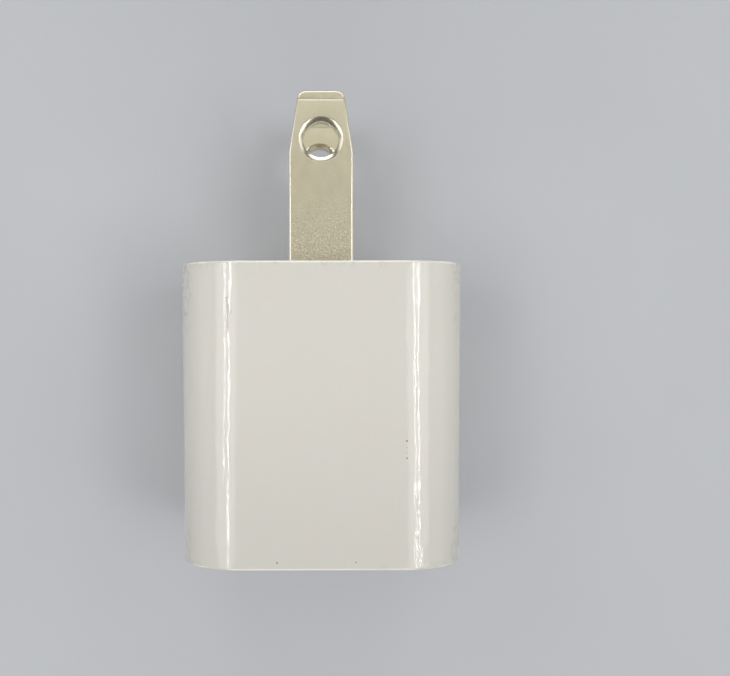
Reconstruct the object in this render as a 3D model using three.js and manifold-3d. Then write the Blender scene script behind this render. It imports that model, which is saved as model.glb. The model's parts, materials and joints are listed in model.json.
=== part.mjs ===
// A cube-shaped mains charger with two flat blades and one USB-A port, as its separate pieces.
// Millimetres. +Y leaves the prong face along the blades, and +Z is up from the side it lies on.
// The origin is the centre of the prong face, midway between the blades.
import * as THREE from 'three';
import { mergeVertices } from 'three/addons/utils/BufferGeometryUtils.js';
import Module from 'manifold-3d';

const wasm = await Module();
wasm.setup();

// ---- Driving dimensions ----

const BODY = { width: 27.0, depth: 27.0, length: 28.7, corner: 5.8, edge: 0.22, wall: 1.6 };
const CAP = { thickness: 1.7, inset: 1.0, edge: 0.15, ledgeGap: 0.1, slotGap: 0.1 };
const BLADE = {
  width: 6.35, thickness: 1.5, pitch: 12.7, reach: 17.05, edge: 0.25,
  taperLength: 6.25, tipWidth: 4.6, tipCorner: 0.9, tipBevel: 1.0, tipThickness: 0.8,
  holeRadius: 1.72, chamferRadius: 2.15, chamferDepth: 0.2, holeFromTip: 4.79,
  rootDepth: 3.5, rootThickness: 1.4, tailDepth: 4.5, tailWidth: 3.2,
};
const CARRIER = { width: 16.0, depth: 19.6, thickness: 1.6, corner: 2.0 };
const POST = { x: 6.4, z: 2.6, radius: 0.8, depth: 4.0, hole: 1.0, sides: 12 };

// A USB-A socket: the port's long side runs along Z.
const PORT = {
  width: 12.5, height: 5.12, sheet: 0.31, corner: 0.6, front: -28.4, rear: -14.7,
  openingGap: 0.14, legWidth: 1.5, legY: -20.2, legReach: -4.9, legGap: 0.2, innerCorner: 0.4,
};
const TONGUE = {
  width: 11.1, front: -24.7, wall: -16.0, rear: -14.8, low: 0.06, high: 1.86,
  grooveFloor: 1.35, grooveWidth: 1.4, grooveFront: -24.2,
  blockGap: 0.1, overlap: 0.5, channelWidth: 1.1, channelHeight: 0.6,
};
const CONTACT = { offsets: [-3.5, -1.0, 1.0, 3.5], sheet: 0.22, width: 1.0, tailWidth: 0.7 };
const CONTACT_PIVOT = { x: 0.55, y: -16.5 };
const CONTACT_TAIL = { overlap: 0.3, bend: 0.4 };
const LATCH = { sheet: 0.25, width: 2.4, z: 3.2, windowWidth: 3.2, windowFront: -26.0, windowRear: -20.0 };
const LATCH_PIVOT = { x: 2.715, y: -25.9 };

// Two circuit boards stand parallel to the blades' narrow sides.
const PRIMARY = { inner: 9.2, outer: 9.8, rear: -26.6, front: -4.4, halfWidth: 10.4 };
const SECONDARY = { inner: -3.1, outer: -3.9, rear: -26.8, front: -5.2, halfWidth: 11.0 };
const RAIL = { thickness: 0.5, gap: 0.1, overlap: 0.5, rooting: 0.2, rear: -27.3, front: -5.5 };
const LEAD = { radius: 0.28, hole: 0.5, stickOut: 0.8, rooting: 0.6, short: 0.05 };
const BOARD_CORNER = 0.8;

const TRANSFORMER = {
  y: -9.6, coreWidth: 12.6, coreThickness: 4.4, low: -2.7, high: 9.1, back: 1.7,
  centreLeg: 3.2, sideLeg: 1.7, joint: 0.1,
};
const BOBBIN = {
  clearance: 0.2, wall: 0.5, flangeZ: 4.4, flangeY: 4.4, flange: 0.5, bore: 0.1, corner: 0.3,
};
const WINDING = { primary: 0.7, secondary: 0.55, gap: 0.1 };
const TRANSFORMER_PIN = { z: 3.2, nearY: -5.8, farY: -13.4, gap: 0.02 };

const INPUT_CAPACITOR = {
  radius: 2.9, x: 6.15, z: 3.4, rear: -26.3, front: -15.0, leadPitch: 2.0, leadOut: 0.55,
};
const OUTPUT_CAPACITOR = {
  radius: 3.15, length: 7.0, y: -23.4, z: 3.7, leadPitch: 2.5, standOff: 0.2,
};
const CAN = {
  rim: 0.3, face: 0.9, recess: 0.25, groove: 0.25, grooveFrom: 2.2, grooveAt: 1.8, grooveTo: 1.4,
};
const SAFETY_CAPACITOR = { x: 2.6, y: -19.0, z: -9.3, radius: 3.5, thickness: 2.8, leadOffset: 1.5 };
const FUSIBLE_RESISTOR = {
  x: 6.7, y: -9.6, z: 8.6, radius: 1.3, length: 6.4, leadY: 4.0,
  caps: { bevel: 0.35, cap: 1.2, waist: 0.25, slope: 0.5 },
};
const FILTER_INDUCTOR = {
  x: 6.5, y: -9.6, z: -8.6, radius: 2.0, length: 6.4, leadY: 4.0,
  caps: { bevel: 0.2, cap: 0.9, waist: 0.3, slope: 0.05 },
};
const FILM = { thickness: 0.15, halfWidth: 7.4, top: 3.2, bottom: -2.4, rear: -26.8, front: -15.0 };
const PACKAGE = {
  corner: 0.12, standOff: 0.12, edge: 0.08, footLow: 0.03, footHigh: 0.33, footOverlap: 0.3,
};
const STRIP = {
  sheet: 0.3, width: 2.4, y: -4.75, footEnd: -6.3, end: -1.7, bend: 0.35, boardGap: 0.05,
};

const bothSides = [-1, 1];
const BODY_ARC = { arcSteps: 10, edgeSteps: 2 };
const SMALL_ARC = { arcSteps: 2, edgeSteps: 1 };
const HALF_DEPTH = BODY.depth / 2;

// How far a cutting tool runs past the face that it cuts through.
const PAST = 1;

// ---- Solids ----

const X_AXIS = new THREE.Vector3(1, 0, 0);
const Y_AXIS = new THREE.Vector3(0, 1, 0);
const Z_AXIS = new THREE.Vector3(0, 0, 1);

// An outline for an x prism is drawn in (y, z), for a y prism in (z, x), for a z prism in (x, y).
const PRISM_BASES = {
  x: new THREE.Matrix4().makeBasis(Y_AXIS, Z_AXIS, X_AXIS),
  y: new THREE.Matrix4().makeBasis(Z_AXIS, X_AXIS, Y_AXIS),
  z: new THREE.Matrix4(),
};

// A turned piece is drawn about +Y, then laid along its own axis.
const TURNED_BASES = {
  x: new THREE.Matrix4().makeBasis(Z_AXIS, X_AXIS, Y_AXIS),
  y: new THREE.Matrix4(),
  z: new THREE.Matrix4().makeBasis(Y_AXIS, Z_AXIS, X_AXIS),
};

function toSolid(geometry) {
  const bare = geometry.clone();
  bare.deleteAttribute('normal');
  bare.deleteAttribute('uv');
  const merged = mergeVertices(bare);
  const mesh = new wasm.Mesh({
    numProp: 3,
    vertProperties: new Float32Array(merged.attributes.position.array),
    triVerts: new Uint32Array(merged.index.array),
  });
  return new wasm.Manifold(mesh);
}

function toGeometry(solid) {
  const mesh = solid.getMesh();
  const geometry = new THREE.BufferGeometry();
  geometry.setAttribute('position', new THREE.BufferAttribute(mesh.vertProperties, 3));
  geometry.setIndex(new THREE.BufferAttribute(mesh.triVerts, 1));
  geometry.computeVertexNormals();
  return geometry;
}

function sorted(one, other) {
  return [Math.min(one, other), Math.max(one, other)];
}

function joined(solids) {
  return solids.reduce((whole, solid) => whole.add(solid));
}

function cut(solid, tools) {
  return tools.reduce((rest, tool) => rest.subtract(tool), solid);
}

function block([x0, x1], [y0, y1], [z0, z1]) {
  const geometry = new THREE.BoxGeometry(x1 - x0, y1 - y0, z1 - z0);
  geometry.translate((x0 + x1) / 2, (y0 + y1) / 2, (z0 + z1) / 2);
  return toSolid(geometry);
}

function prism(axis, outline, from, to, edge = 0, { arcSteps, edgeSteps } = SMALL_ARC) {
  const geometry = new THREE.ExtrudeGeometry(outline, {
    depth: to - from - 2 * edge,
    steps: 1,
    curveSegments: arcSteps,
    bevelEnabled: edge > 0,
    bevelThickness: edge,
    bevelSize: edge,
    bevelOffset: -edge,
    bevelSegments: edgeSteps,
  });
  geometry.translate(0, 0, from + edge);
  geometry.applyMatrix4(PRISM_BASES[axis]);
  return toSolid(geometry);
}

// The profile lists (radius, position along the axis) from the low end to the high end.
function turned(axis, profile, centre, sides = 18) {
  const points = profile.map(([radius, along]) => new THREE.Vector2(radius, along));
  const geometry = new THREE.LatheGeometry(points, sides);
  geometry.applyMatrix4(TURNED_BASES[axis]);
  geometry.translate(...centre);
  return toSolid(geometry);
}

function rod(axis, from, to, radius, centre, sides = 8) {
  return turned(axis, [[0, from], [radius, from], [radius, to], [0, to]], centre, sides);
}

// A round lead through a list of corners. Each step runs along one axis, a little past its corner.
function lead(corners) {
  const steps = corners.slice(1).map((end, index) => {
    const start = corners[index];
    const along = [0, 1, 2].find((i) => start[i] !== end[i]);
    const isLast = index === corners.length - 2;
    const past = isLast ? 0 : Math.sign(end[along] - start[along]) * LEAD.radius;
    const ends = sorted(start[along], end[along] + past);
    const centre = start.map((value, i) => (i === along ? 0 : value));
    return rod('xyz'[along], ends[0], ends[1], LEAD.radius, centre);
  });
  return joined(steps);
}

function roundedRectangle(across, up, radius, centreAcross = 0, centreUp = 0) {
  const left = centreAcross - across / 2;
  const right = centreAcross + across / 2;
  const bottom = centreUp - up / 2;
  const top = centreUp + up / 2;
  const shape = new THREE.Shape();
  shape.absarc(right - radius, bottom + radius, radius, -Math.PI / 2, 0);
  shape.absarc(right - radius, top - radius, radius, 0, Math.PI / 2);
  shape.absarc(left + radius, top - radius, radius, Math.PI / 2, Math.PI);
  shape.absarc(left + radius, bottom + radius, radius, Math.PI, Math.PI * 1.5);
  shape.closePath();
  return shape;
}

function polygon(points) {
  return new THREE.Shape(points.map(([across, up]) => new THREE.Vector2(across, up)));
}

// The outline of a folded sheet, from the line that its middle follows.
function sheetOutline(middle, thickness) {
  const points = middle.map(([across, up]) => new THREE.Vector2(across, up));
  const offsets = points.map((point, index) => {
    const before = points[Math.max(index - 1, 0)];
    const after = points[Math.min(index + 1, points.length - 1)];
    const inward = point.clone().sub(before).normalize();
    const outward = after.clone().sub(point).normalize();
    const along = inward.add(outward).normalize();
    const reference = index === 0 ? outward : point.clone().sub(before).normalize();
    const half = thickness / 2 / along.dot(reference);
    return new THREE.Vector2(-along.y, along.x).multiplyScalar(half);
  });
  const one = points.map((point, index) => point.clone().sub(offsets[index]));
  const other = points.map((point, index) => point.clone().add(offsets[index])).reverse();
  return new THREE.Shape([...one, ...other]);
}

// ---- Casing ----

function bodyPrism(inset, from, to, edge) {
  const across = BODY.depth - 2 * inset;
  const up = BODY.width - 2 * inset;
  return prism('y', roundedRectangle(across, up, BODY.corner - inset), from, to, edge, BODY_ARC);
}

function boardRails(board) {
  const faces = sorted(board.inner, board.outer);
  const lowRail = [faces[0] - RAIL.gap - RAIL.thickness, faces[0] - RAIL.gap];
  const highRail = [faces[1] + RAIL.gap, faces[1] + RAIL.gap + RAIL.thickness];
  const wallInside = HALF_DEPTH - BODY.wall;
  const reach = [board.halfWidth - RAIL.overlap, wallInside + RAIL.rooting];
  return [lowRail, highRail].flatMap((xRange) => [
    block(xRange, [RAIL.rear, RAIL.front], reach),
    block(xRange, [RAIL.rear, RAIL.front], [-reach[1], -reach[0]]),
  ]);
}

function outerShell() {
  const outside = bodyPrism(0, -BODY.length, 0, BODY.edge);
  const cavity = bodyPrism(BODY.wall, BODY.wall - BODY.length, PAST, 0);
  const capSeat = bodyPrism(CAP.inset, -CAP.thickness - CAP.ledgeGap, PAST, 0);
  const portWidth = PORT.width + 2 * (PORT.sheet + PORT.openingGap);
  const portHeight = PORT.height + 2 * (PORT.sheet + PORT.openingGap);
  const portOutline = roundedRectangle(portWidth, portHeight, PORT.corner + PORT.openingGap);
  const port = prism('y', portOutline, -BODY.length - PAST, BODY.wall - BODY.length + PAST);
  const hollow = cut(outside, [cavity, capSeat, port]);
  return joined([hollow, ...boardRails(PRIMARY), ...boardRails(SECONDARY)]);
}

function bladeSlot(z, from, to) {
  const halfWidth = BLADE.width / 2 + CAP.slotGap;
  const halfThickness = BLADE.thickness / 2 + CAP.slotGap;
  return block([-halfWidth, halfWidth], [from, to], [z - halfThickness, z + halfThickness]);
}

function postPlaces() {
  return bothSides.flatMap((xSide) => bothSides.map((zSide) => [xSide * POST.x, 0, zSide * POST.z]));
}

function prongCap() {
  const plate = bodyPrism(CAP.inset + CAP.ledgeGap, -CAP.thickness, 0, CAP.edge);
  const posts = postPlaces().map(
    (place) => rod('y', -POST.depth, -CAP.thickness / 2, POST.radius, place, POST.sides),
  );
  const slots = bladePlaces.map((z) => bladeSlot(z, -CAP.thickness - PAST, PAST));
  return cut(joined([plate, ...posts]), slots);
}

function bladeCarrier() {
  const front = -CAP.thickness - CAP.ledgeGap;
  const outline = roundedRectangle(CARRIER.depth, CARRIER.width, CARRIER.corner);
  const plate = prism('y', outline, front - CARRIER.thickness, front);
  const slots = bladePlaces.map((z) => bladeSlot(z, front - CARRIER.thickness - PAST, front + PAST));
  const holes = postPlaces().map(
    (place) => rod('y', -POST.depth - PAST, 0, POST.hole, place, POST.sides),
  );
  return cut(plate, [...slots, ...holes]);
}

// ---- Mains blades ----

const bladePlaces = [BLADE.pitch / 2, -BLADE.pitch / 2];

function bladeOutline() {
  const half = BLADE.width / 2;
  const tipHalf = BLADE.tipWidth / 2;
  const tailHalf = BLADE.tailWidth / 2;
  const corner = BLADE.tipCorner;
  const shoulder = BLADE.reach - BLADE.taperLength;
  const slope = (half - tipHalf) / BLADE.taperLength;
  const shape = new THREE.Shape();
  shape.moveTo(-tailHalf, -BLADE.tailDepth);
  shape.lineTo(tailHalf, -BLADE.tailDepth);
  shape.lineTo(tailHalf, -BLADE.rootDepth);
  shape.lineTo(half, -BLADE.rootDepth);
  shape.lineTo(half, shoulder);
  shape.lineTo(tipHalf + slope * corner, BLADE.reach - corner);
  shape.quadraticCurveTo(tipHalf, BLADE.reach, tipHalf - corner, BLADE.reach);
  shape.lineTo(corner - tipHalf, BLADE.reach);
  shape.quadraticCurveTo(-tipHalf, BLADE.reach, -tipHalf - slope * corner, BLADE.reach - corner);
  shape.lineTo(-half, shoulder);
  shape.lineTo(-half, -BLADE.rootDepth);
  shape.lineTo(-tailHalf, -BLADE.rootDepth);
  shape.closePath();
  return shape;
}

// The wedge that thins one wide side of a blade towards its tip, drawn in (y, z).
function tipWedge(z, side) {
  const face = z + side * BLADE.thickness / 2;
  const thinned = z + side * BLADE.tipThickness / 2;
  const clear = face + side * PAST;
  const start = BLADE.reach - BLADE.tipBevel;
  const end = BLADE.reach + PAST;
  const drop = (face - thinned) / BLADE.tipBevel;
  const corners = [[start, face], [end, face - drop * (end - start)], [end, clear], [start, clear]];
  const outline = polygon(side > 0 ? corners : corners.reverse());
  return prism('x', outline, -BLADE.width, BLADE.width);
}

function blade(z) {
  const holeY = BLADE.reach - BLADE.holeFromTip;
  const half = BLADE.thickness / 2;
  const depth = BLADE.chamferDepth;
  const mouth = 2 * BLADE.chamferRadius - BLADE.holeRadius;
  const holeProfile = [
    [0, -half - depth], [mouth, -half - depth], [BLADE.holeRadius, -half + depth],
    [BLADE.holeRadius, half - depth], [mouth, half + depth], [0, half + depth],
  ];
  const plate = prism('z', bladeOutline(), z - half, z + half, BLADE.edge);
  const hole = turned('z', holeProfile, [0, holeY, z], 36);
  const rootRelief = bothSides.map((side) => block(
    [-BLADE.width, BLADE.width],
    [-BLADE.tailDepth - PAST, 0],
    sorted(z + side * BLADE.rootThickness / 2, z + side * BLADE.thickness),
  ));
  return cut(plate, [hole, tipWedge(z, 1), tipWedge(z, -1), ...rootRelief]);
}

// A folded strip that carries a blade's tail to the primary board. Its middle line is drawn in (x, y):
// the foot on the board, the bend, the long arm, and a shallow bow that presses on the tail.
function contactStrip(z) {
  const boardFace = PRIMARY.inner - STRIP.sheet / 2 - STRIP.boardGap;
  const middle = [
    [boardFace, STRIP.footEnd], [boardFace, STRIP.y - STRIP.bend], [boardFace - STRIP.bend, STRIP.y],
    [3.2, STRIP.y], [2.4, STRIP.y - 0.25], [STRIP.end + 0.6, STRIP.y - 0.05], [STRIP.end, STRIP.y - 0.3],
  ];
  return prism('z', sheetOutline(middle, STRIP.sheet), z - STRIP.width / 2, z + STRIP.width / 2);
}

// ---- USB-A socket ----

function latchWindows() {
  const wallOutside = PORT.height / 2 + PORT.sheet;
  return bothSides.map((zSide) => {
    const z = zSide * LATCH.z;
    const zRange = [z - LATCH.windowWidth / 2, z + LATCH.windowWidth / 2];
    return block([-wallOutside - PAST, wallOutside + PAST], [LATCH.windowFront, LATCH.windowRear], zRange);
  });
}

function usbShell() {
  const outer = roundedRectangle(PORT.width + 2 * PORT.sheet, PORT.height + 2 * PORT.sheet, PORT.corner);
  const inner = roundedRectangle(PORT.width, PORT.height, PORT.innerCorner);
  const tube = prism('y', outer, PORT.front, PORT.rear);
  const bore = prism('y', inner, PORT.front - PAST, PORT.rear + PAST);
  const legY = [PORT.legY - PORT.legWidth / 2, PORT.legY + PORT.legWidth / 2];
  const wallZ = [PORT.width / 2, PORT.width / 2 + PORT.sheet];
  const legs = [
    block([PORT.legReach, 0], legY, wallZ),
    block([PORT.legReach, 0], legY, [-wallZ[1], -wallZ[0]]),
  ];
  return joined([cut(tube, [bore, ...latchWindows()]), ...legs]);
}

function usbTongue() {
  const blockWidth = PORT.width - 2 * TONGUE.blockGap;
  const blockHeight = PORT.height - 2 * TONGUE.blockGap;
  const blockOutline = roundedRectangle(blockWidth, blockHeight, PORT.innerCorner);
  const rearBlock = prism('y', blockOutline, TONGUE.wall, TONGUE.rear);
  const halfTongue = TONGUE.width / 2;
  const tongueY = [TONGUE.front, TONGUE.wall + TONGUE.overlap];
  const tongue = block([TONGUE.low, TONGUE.high], tongueY, [-halfTongue, halfTongue]);
  const grooves = CONTACT.offsets.map((z) => block(
    [TONGUE.low - PAST, TONGUE.grooveFloor],
    [TONGUE.grooveFront, TONGUE.wall],
    [z - TONGUE.grooveWidth / 2, z + TONGUE.grooveWidth / 2],
  ));
  const channels = CONTACT.offsets.map((z) => block(
    [CONTACT_PIVOT.x - TONGUE.channelHeight / 2, CONTACT_PIVOT.x + TONGUE.channelHeight / 2],
    [TONGUE.wall - TONGUE.overlap, TONGUE.rear + PAST],
    [z - TONGUE.channelWidth / 2, z + TONGUE.channelWidth / 2],
  ));
  return cut(joined([rearBlock, tongue]), [...grooves, ...channels]);
}

// The springy front of a contact: it leaves its groove, rises to the wiping point and dips again.
function usbContact(z) {
  const { x, y } = CONTACT_PIVOT;
  const middle = [
    [x, y], [x - 0.05, y - 2.0], [x - 0.4, y - 3.7], [x - 0.78, y - 5.1],
    [x - 0.9, y - 5.8], [x - 0.72, y - 6.5], [x - 0.1, y - 7.3],
  ];
  const outline = sheetOutline(middle, CONTACT.sheet);
  return prism('z', outline, z - CONTACT.width / 2, z + CONTACT.width / 2);
}

function usbContactTail(z) {
  const x = CONTACT_PIVOT.x;
  const start = CONTACT_PIVOT.y + CONTACT_TAIL.overlap;
  const drop = TONGUE.rear + CONTACT_TAIL.bend;
  const end = SECONDARY.outer - LEAD.stickOut;
  const middle = [[x, start], [x, drop], [end, drop]];
  const outline = sheetOutline(middle, CONTACT.sheet);
  return prism('z', outline, z - CONTACT.tailWidth / 2, z + CONTACT.tailWidth / 2);
}

// A spring tab of the socket's shell: it bends in towards the plug and back out.
function usbLatchSpring(xSide, z) {
  const { x, y } = LATCH_PIVOT;
  const middle = [
    [x, y], [x - 0.04, y + 0.8], [x - 0.32, y + 2.3], [x - 0.51, y + 3.0],
    [x - 0.53, y + 3.4], [x - 0.49, y + 3.9], [x - 0.32, y + 5.3],
  ];
  const placed = middle.map(([across, up]) => [xSide * across, up]);
  const outline = sheetOutline(xSide > 0 ? placed : placed.reverse(), LATCH.sheet);
  return prism('z', outline, z - LATCH.width / 2, z + LATCH.width / 2);
}

// ---- Circuit boards ----

function boardPlate(board, holes, slots) {
  const faces = sorted(board.inner, board.outer);
  const width = 2 * board.halfWidth;
  const length = board.front - board.rear;
  const outline = roundedRectangle(length, width, BOARD_CORNER, (board.front + board.rear) / 2, 0);
  const plate = prism('x', outline, faces[0], faces[1]);
  const drills = holes.map(([y, z]) => rod('x', faces[0] - PAST, faces[1] + PAST, LEAD.hole, [0, y, z]));
  return cut(plate, [...drills, ...slots]);
}

const capacitorLeadY = INPUT_CAPACITOR.front + INPUT_CAPACITOR.leadOut;
const inputLeadZ = bothSides.flatMap((side) => bothSides.map(
  (end) => side * INPUT_CAPACITOR.z + end * INPUT_CAPACITOR.leadPitch / 2,
));

function primaryBoard() {
  const holes = [
    ...inputLeadZ.map((z) => [capacitorLeadY, z]),
    ...bothSides.map((side) => [FUSIBLE_RESISTOR.y + side * FUSIBLE_RESISTOR.leadY, FUSIBLE_RESISTOR.z]),
    ...bothSides.map((side) => [FILTER_INDUCTOR.y + side * FILTER_INDUCTOR.leadY, FILTER_INDUCTOR.z]),
    ...bothSides.map((side) => [TRANSFORMER_PIN.nearY, side * TRANSFORMER_PIN.z]),
    ...bothSides.map((side) => [TRANSFORMER_PIN.farY, side * TRANSFORMER_PIN.z]),
    [SAFETY_CAPACITOR.y + SAFETY_CAPACITOR.leadOffset, SAFETY_CAPACITOR.z],
  ];
  return boardPlate(PRIMARY, holes, []);
}

function secondaryBoard() {
  const capacitorLeads = bothSides.flatMap((side) => bothSides.map(
    (end) => [OUTPUT_CAPACITOR.y + end * OUTPUT_CAPACITOR.leadPitch / 2, side * OUTPUT_CAPACITOR.z],
  ));
  const holes = [
    ...capacitorLeads,
    ...bothSides.map((side) => [TRANSFORMER_PIN.nearY, side * TRANSFORMER_PIN.z]),
    ...CONTACT.offsets.map((z) => [TONGUE.rear + CONTACT_TAIL.bend, z]),
    [SAFETY_CAPACITOR.y - SAFETY_CAPACITOR.leadOffset, SAFETY_CAPACITOR.z],
  ];
  const legSlots = bothSides.map((side) => {
    const z = side * (PORT.width + PORT.sheet) / 2;
    const halfY = PORT.legWidth / 2 + PORT.legGap;
    const halfZ = PORT.sheet / 2 + PORT.legGap;
    const xRange = [SECONDARY.outer - PAST, SECONDARY.inner + PAST];
    return block(xRange, [PORT.legY - halfY, PORT.legY + halfY], [z - halfZ, z + halfZ]);
  });
  return boardPlate(SECONDARY, holes, legSlots);
}

// ---- Transformer ----

const coreJoint = (TRANSFORMER.low + TRANSFORMER.high) / 2;
const windowLow = TRANSFORMER.low + TRANSFORMER.back;
const windowHigh = TRANSFORMER.high - TRANSFORMER.back;
const bobbinHalfZ = TRANSFORMER.centreLeg / 2 + BOBBIN.clearance + BOBBIN.wall;
const bobbinHalfY = TRANSFORMER.coreThickness / 2 + BOBBIN.clearance + BOBBIN.wall;
const bobbinRange = [windowLow + BOBBIN.clearance, windowHigh - BOBBIN.clearance];

// One E-shaped ferrite half: its back at one end, its three legs reaching the joint.
function transformerCore(side) {
  const back = side > 0 ? TRANSFORMER.high : TRANSFORMER.low;
  const backInside = back - side * TRANSFORMER.back;
  const legEnd = coreJoint + side * TRANSFORMER.joint / 2;
  const halfY = TRANSFORMER.coreThickness / 2;
  const yRange = [TRANSFORMER.y - halfY, TRANSFORMER.y + halfY];
  const half = TRANSFORMER.coreWidth / 2;
  const leg = (zRange) => block(sorted(legEnd, back), yRange, zRange);
  return joined([
    block(sorted(backInside, back), yRange, [-half, half]),
    leg([-half, -half + TRANSFORMER.sideLeg]),
    leg([-TRANSFORMER.centreLeg / 2, TRANSFORMER.centreLeg / 2]),
    leg([half - TRANSFORMER.sideLeg, half]),
  ]);
}

// A rectangular ring about the winding axis: half sizes along Y and Z, over a stretch of X.
function windingRing(halfY, halfZ, wall, xRange, corner) {
  const outer = roundedRectangle(2 * halfY, 2 * halfZ, corner, TRANSFORMER.y, 0);
  const innerCorner = Math.max(corner - wall, BOBBIN.bore);
  const inner = roundedRectangle(2 * (halfY - wall), 2 * (halfZ - wall), innerCorner, TRANSFORMER.y, 0);
  const ring = prism('x', outer, xRange[0], xRange[1]);
  return ring.subtract(prism('x', inner, xRange[0] - PAST, xRange[1] + PAST));
}

function transformerBobbin() {
  const [low, high] = bobbinRange;
  const tube = windingRing(bobbinHalfY, bobbinHalfZ, BOBBIN.wall, [low, high], BOBBIN.corner);
  const flange = roundedRectangle(2 * BOBBIN.flangeY, 2 * BOBBIN.flangeZ, BOBBIN.corner, TRANSFORMER.y, 0);
  const boreY = 2 * (bobbinHalfY - BOBBIN.wall);
  const boreZ = 2 * (bobbinHalfZ - BOBBIN.wall);
  const boreOutline = roundedRectangle(boreY, boreZ, BOBBIN.bore, TRANSFORMER.y, 0);
  const bore = prism('x', boreOutline, low - PAST, high + PAST);
  const flanges = [[low, low + BOBBIN.flange], [high - BOBBIN.flange, high]].map(
    ([from, to]) => prism('x', flange, from, to).subtract(bore),
  );
  return joined([tube, ...flanges]);
}

function transformerWinding(inset, thickness) {
  const margin = BOBBIN.flange + WINDING.gap;
  const xRange = [bobbinRange[0] + margin, bobbinRange[1] - margin];
  const growth = inset + thickness;
  const corner = BOBBIN.corner + growth;
  return windingRing(bobbinHalfY + growth, bobbinHalfZ + growth, thickness, xRange, corner);
}

function transformerPin(y, z, side) {
  const [low, high] = bobbinRange;
  const pinRange = side > 0
    ? [high + TRANSFORMER_PIN.gap, PRIMARY.outer + LEAD.stickOut]
    : [SECONDARY.outer - LEAD.stickOut, low - TRANSFORMER_PIN.gap];
  return rod('x', pinRange[0], pinRange[1], LEAD.radius, [0, y, z]);
}

// ---- Components with leads ----

// A wrapped can with rolled ends and the groove that grips its rubber bung, from its base to its leads.
function canProfile(radius, length) {
  const { rim, face, recess, groove, grooveFrom, grooveAt, grooveTo } = CAN;
  return [
    [0, recess], [radius - face, recess], [radius - face + recess, 0], [radius - rim, 0], [radius, rim],
    [radius, length - grooveFrom], [radius - groove, length - grooveAt], [radius, length - grooveTo],
    [radius, length - rim], [radius - rim, length], [radius - face, length],
    [radius - face - recess, length - recess], [0, length - recess],
  ];
}

function inputCapacitor(side) {
  const { radius, x, rear, front, leadPitch } = INPUT_CAPACITOR;
  const z = side * INPUT_CAPACITOR.z;
  const can = turned('y', canProfile(radius, front - rear), [x, rear, z]);
  const leads = bothSides.map((end) => {
    const leadZ = z + end * leadPitch / 2;
    return lead([
      [x, front - LEAD.rooting, leadZ],
      [x, capacitorLeadY, leadZ],
      [PRIMARY.outer + LEAD.stickOut, capacitorLeadY, leadZ],
    ]);
  });
  return joined([can, ...leads]);
}

function outputCapacitor(side) {
  const { radius, length, y, leadPitch, standOff } = OUTPUT_CAPACITOR;
  const z = side * OUTPUT_CAPACITOR.z;
  const low = SECONDARY.outer - standOff - length;
  const can = turned('x', canProfile(radius, length), [low, y, z]);
  const leadEnds = [low + length - LEAD.rooting, SECONDARY.inner - LEAD.short];
  const leads = bothSides.map((end) => (
    rod('x', ...leadEnds, LEAD.radius, [0, y + end * leadPitch / 2, z])
  ));
  return joined([can, ...leads]);
}

function safetyCapacitor() {
  const { x, y, z, radius, thickness, leadOffset } = SAFETY_CAPACITOR;
  const half = thickness / 2;
  const flat = radius * 0.7;
  const shoulder = [radius * 0.92, half * 0.7];
  const profile = [
    [0, -half], [flat, -half], [shoulder[0], -shoulder[1]], [radius, 0], shoulder, [flat, half], [0, half],
  ];
  const disc = turned('z', profile, [x, y, z], 24);
  const upLead = rod('x', x, PRIMARY.outer + LEAD.stickOut, LEAD.radius, [0, y + leadOffset, z]);
  const downLead = rod('x', SECONDARY.outer - LEAD.stickOut, x, LEAD.radius, [0, y - leadOffset, z]);
  return joined([disc, upLead, downLead]);
}

// A component lying along Y whose two leads bend up to the primary board.
function axialPart({ x, y, z, length, leadY }, profile) {
  const bodySolid = turned('y', profile, [x, y - length / 2, z]);
  const leads = bothSides.map((side) => lead([
    [x, y + side * (length / 2 - LEAD.rooting), z],
    [x, y + side * leadY, z],
    [PRIMARY.outer + LEAD.stickOut, y + side * leadY, z],
  ]));
  return joined([bodySolid, ...leads]);
}

// A round body with a thicker cap at each end: the profile from one end to the other.
function cappedProfile(radius, length, { bevel, cap, waist, slope }) {
  const near = [[0, 0], [radius - bevel, 0], [radius, bevel], [radius, cap], [radius - waist, cap + slope]];
  const far = near.map(([across, along]) => [across, length - along]).reverse();
  return [...near, ...far];
}

function fusibleResistor() {
  const { radius, length, caps } = FUSIBLE_RESISTOR;
  return axialPart(FUSIBLE_RESISTOR, cappedProfile(radius, length, caps));
}

function filterInductor() {
  const { radius, length, caps } = FILTER_INDUCTOR;
  return axialPart(FILTER_INDUCTOR, cappedProfile(radius, length, caps));
}

// ---- Surface-mounted components ----

// A moulded package with a row of feet along each side, standing on a board's face.
// `face` is the board's face, and `away` is +1 or -1: the way the package rises from it, along X.
function surfacePart({ face, away, y, z, length, width, height, feet, footWidth, footReach }) {
  const rise = (near, far) => sorted(face + away * near, face + away * far);
  const endY = length / 2;
  const sideZ = width / 2;
  const shortY = endY - PACKAGE.corner;
  const shortZ = sideZ - PACKAGE.corner;
  const outline = polygon([
    [y - shortY, z - sideZ], [y + shortY, z - sideZ], [y + endY, z - shortZ], [y + endY, z + shortZ],
    [y + shortY, z + sideZ], [y - shortY, z + sideZ], [y - endY, z + shortZ], [y - endY, z - shortZ],
  ]);
  const moulding = prism('x', outline, ...rise(PACKAGE.standOff, height), PACKAGE.edge);
  const footSolids = feet.flatMap((offset) => bothSides.map((side) => {
    const yRange = [y + offset - footWidth / 2, y + offset + footWidth / 2];
    const zRange = sorted(z + side * (sideZ - PACKAGE.footOverlap), z + side * (sideZ + footReach));
    return block(rise(PACKAGE.footLow, PACKAGE.footHigh), yRange, zRange);
  }));
  return joined([moulding, ...footSolids]);
}

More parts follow.
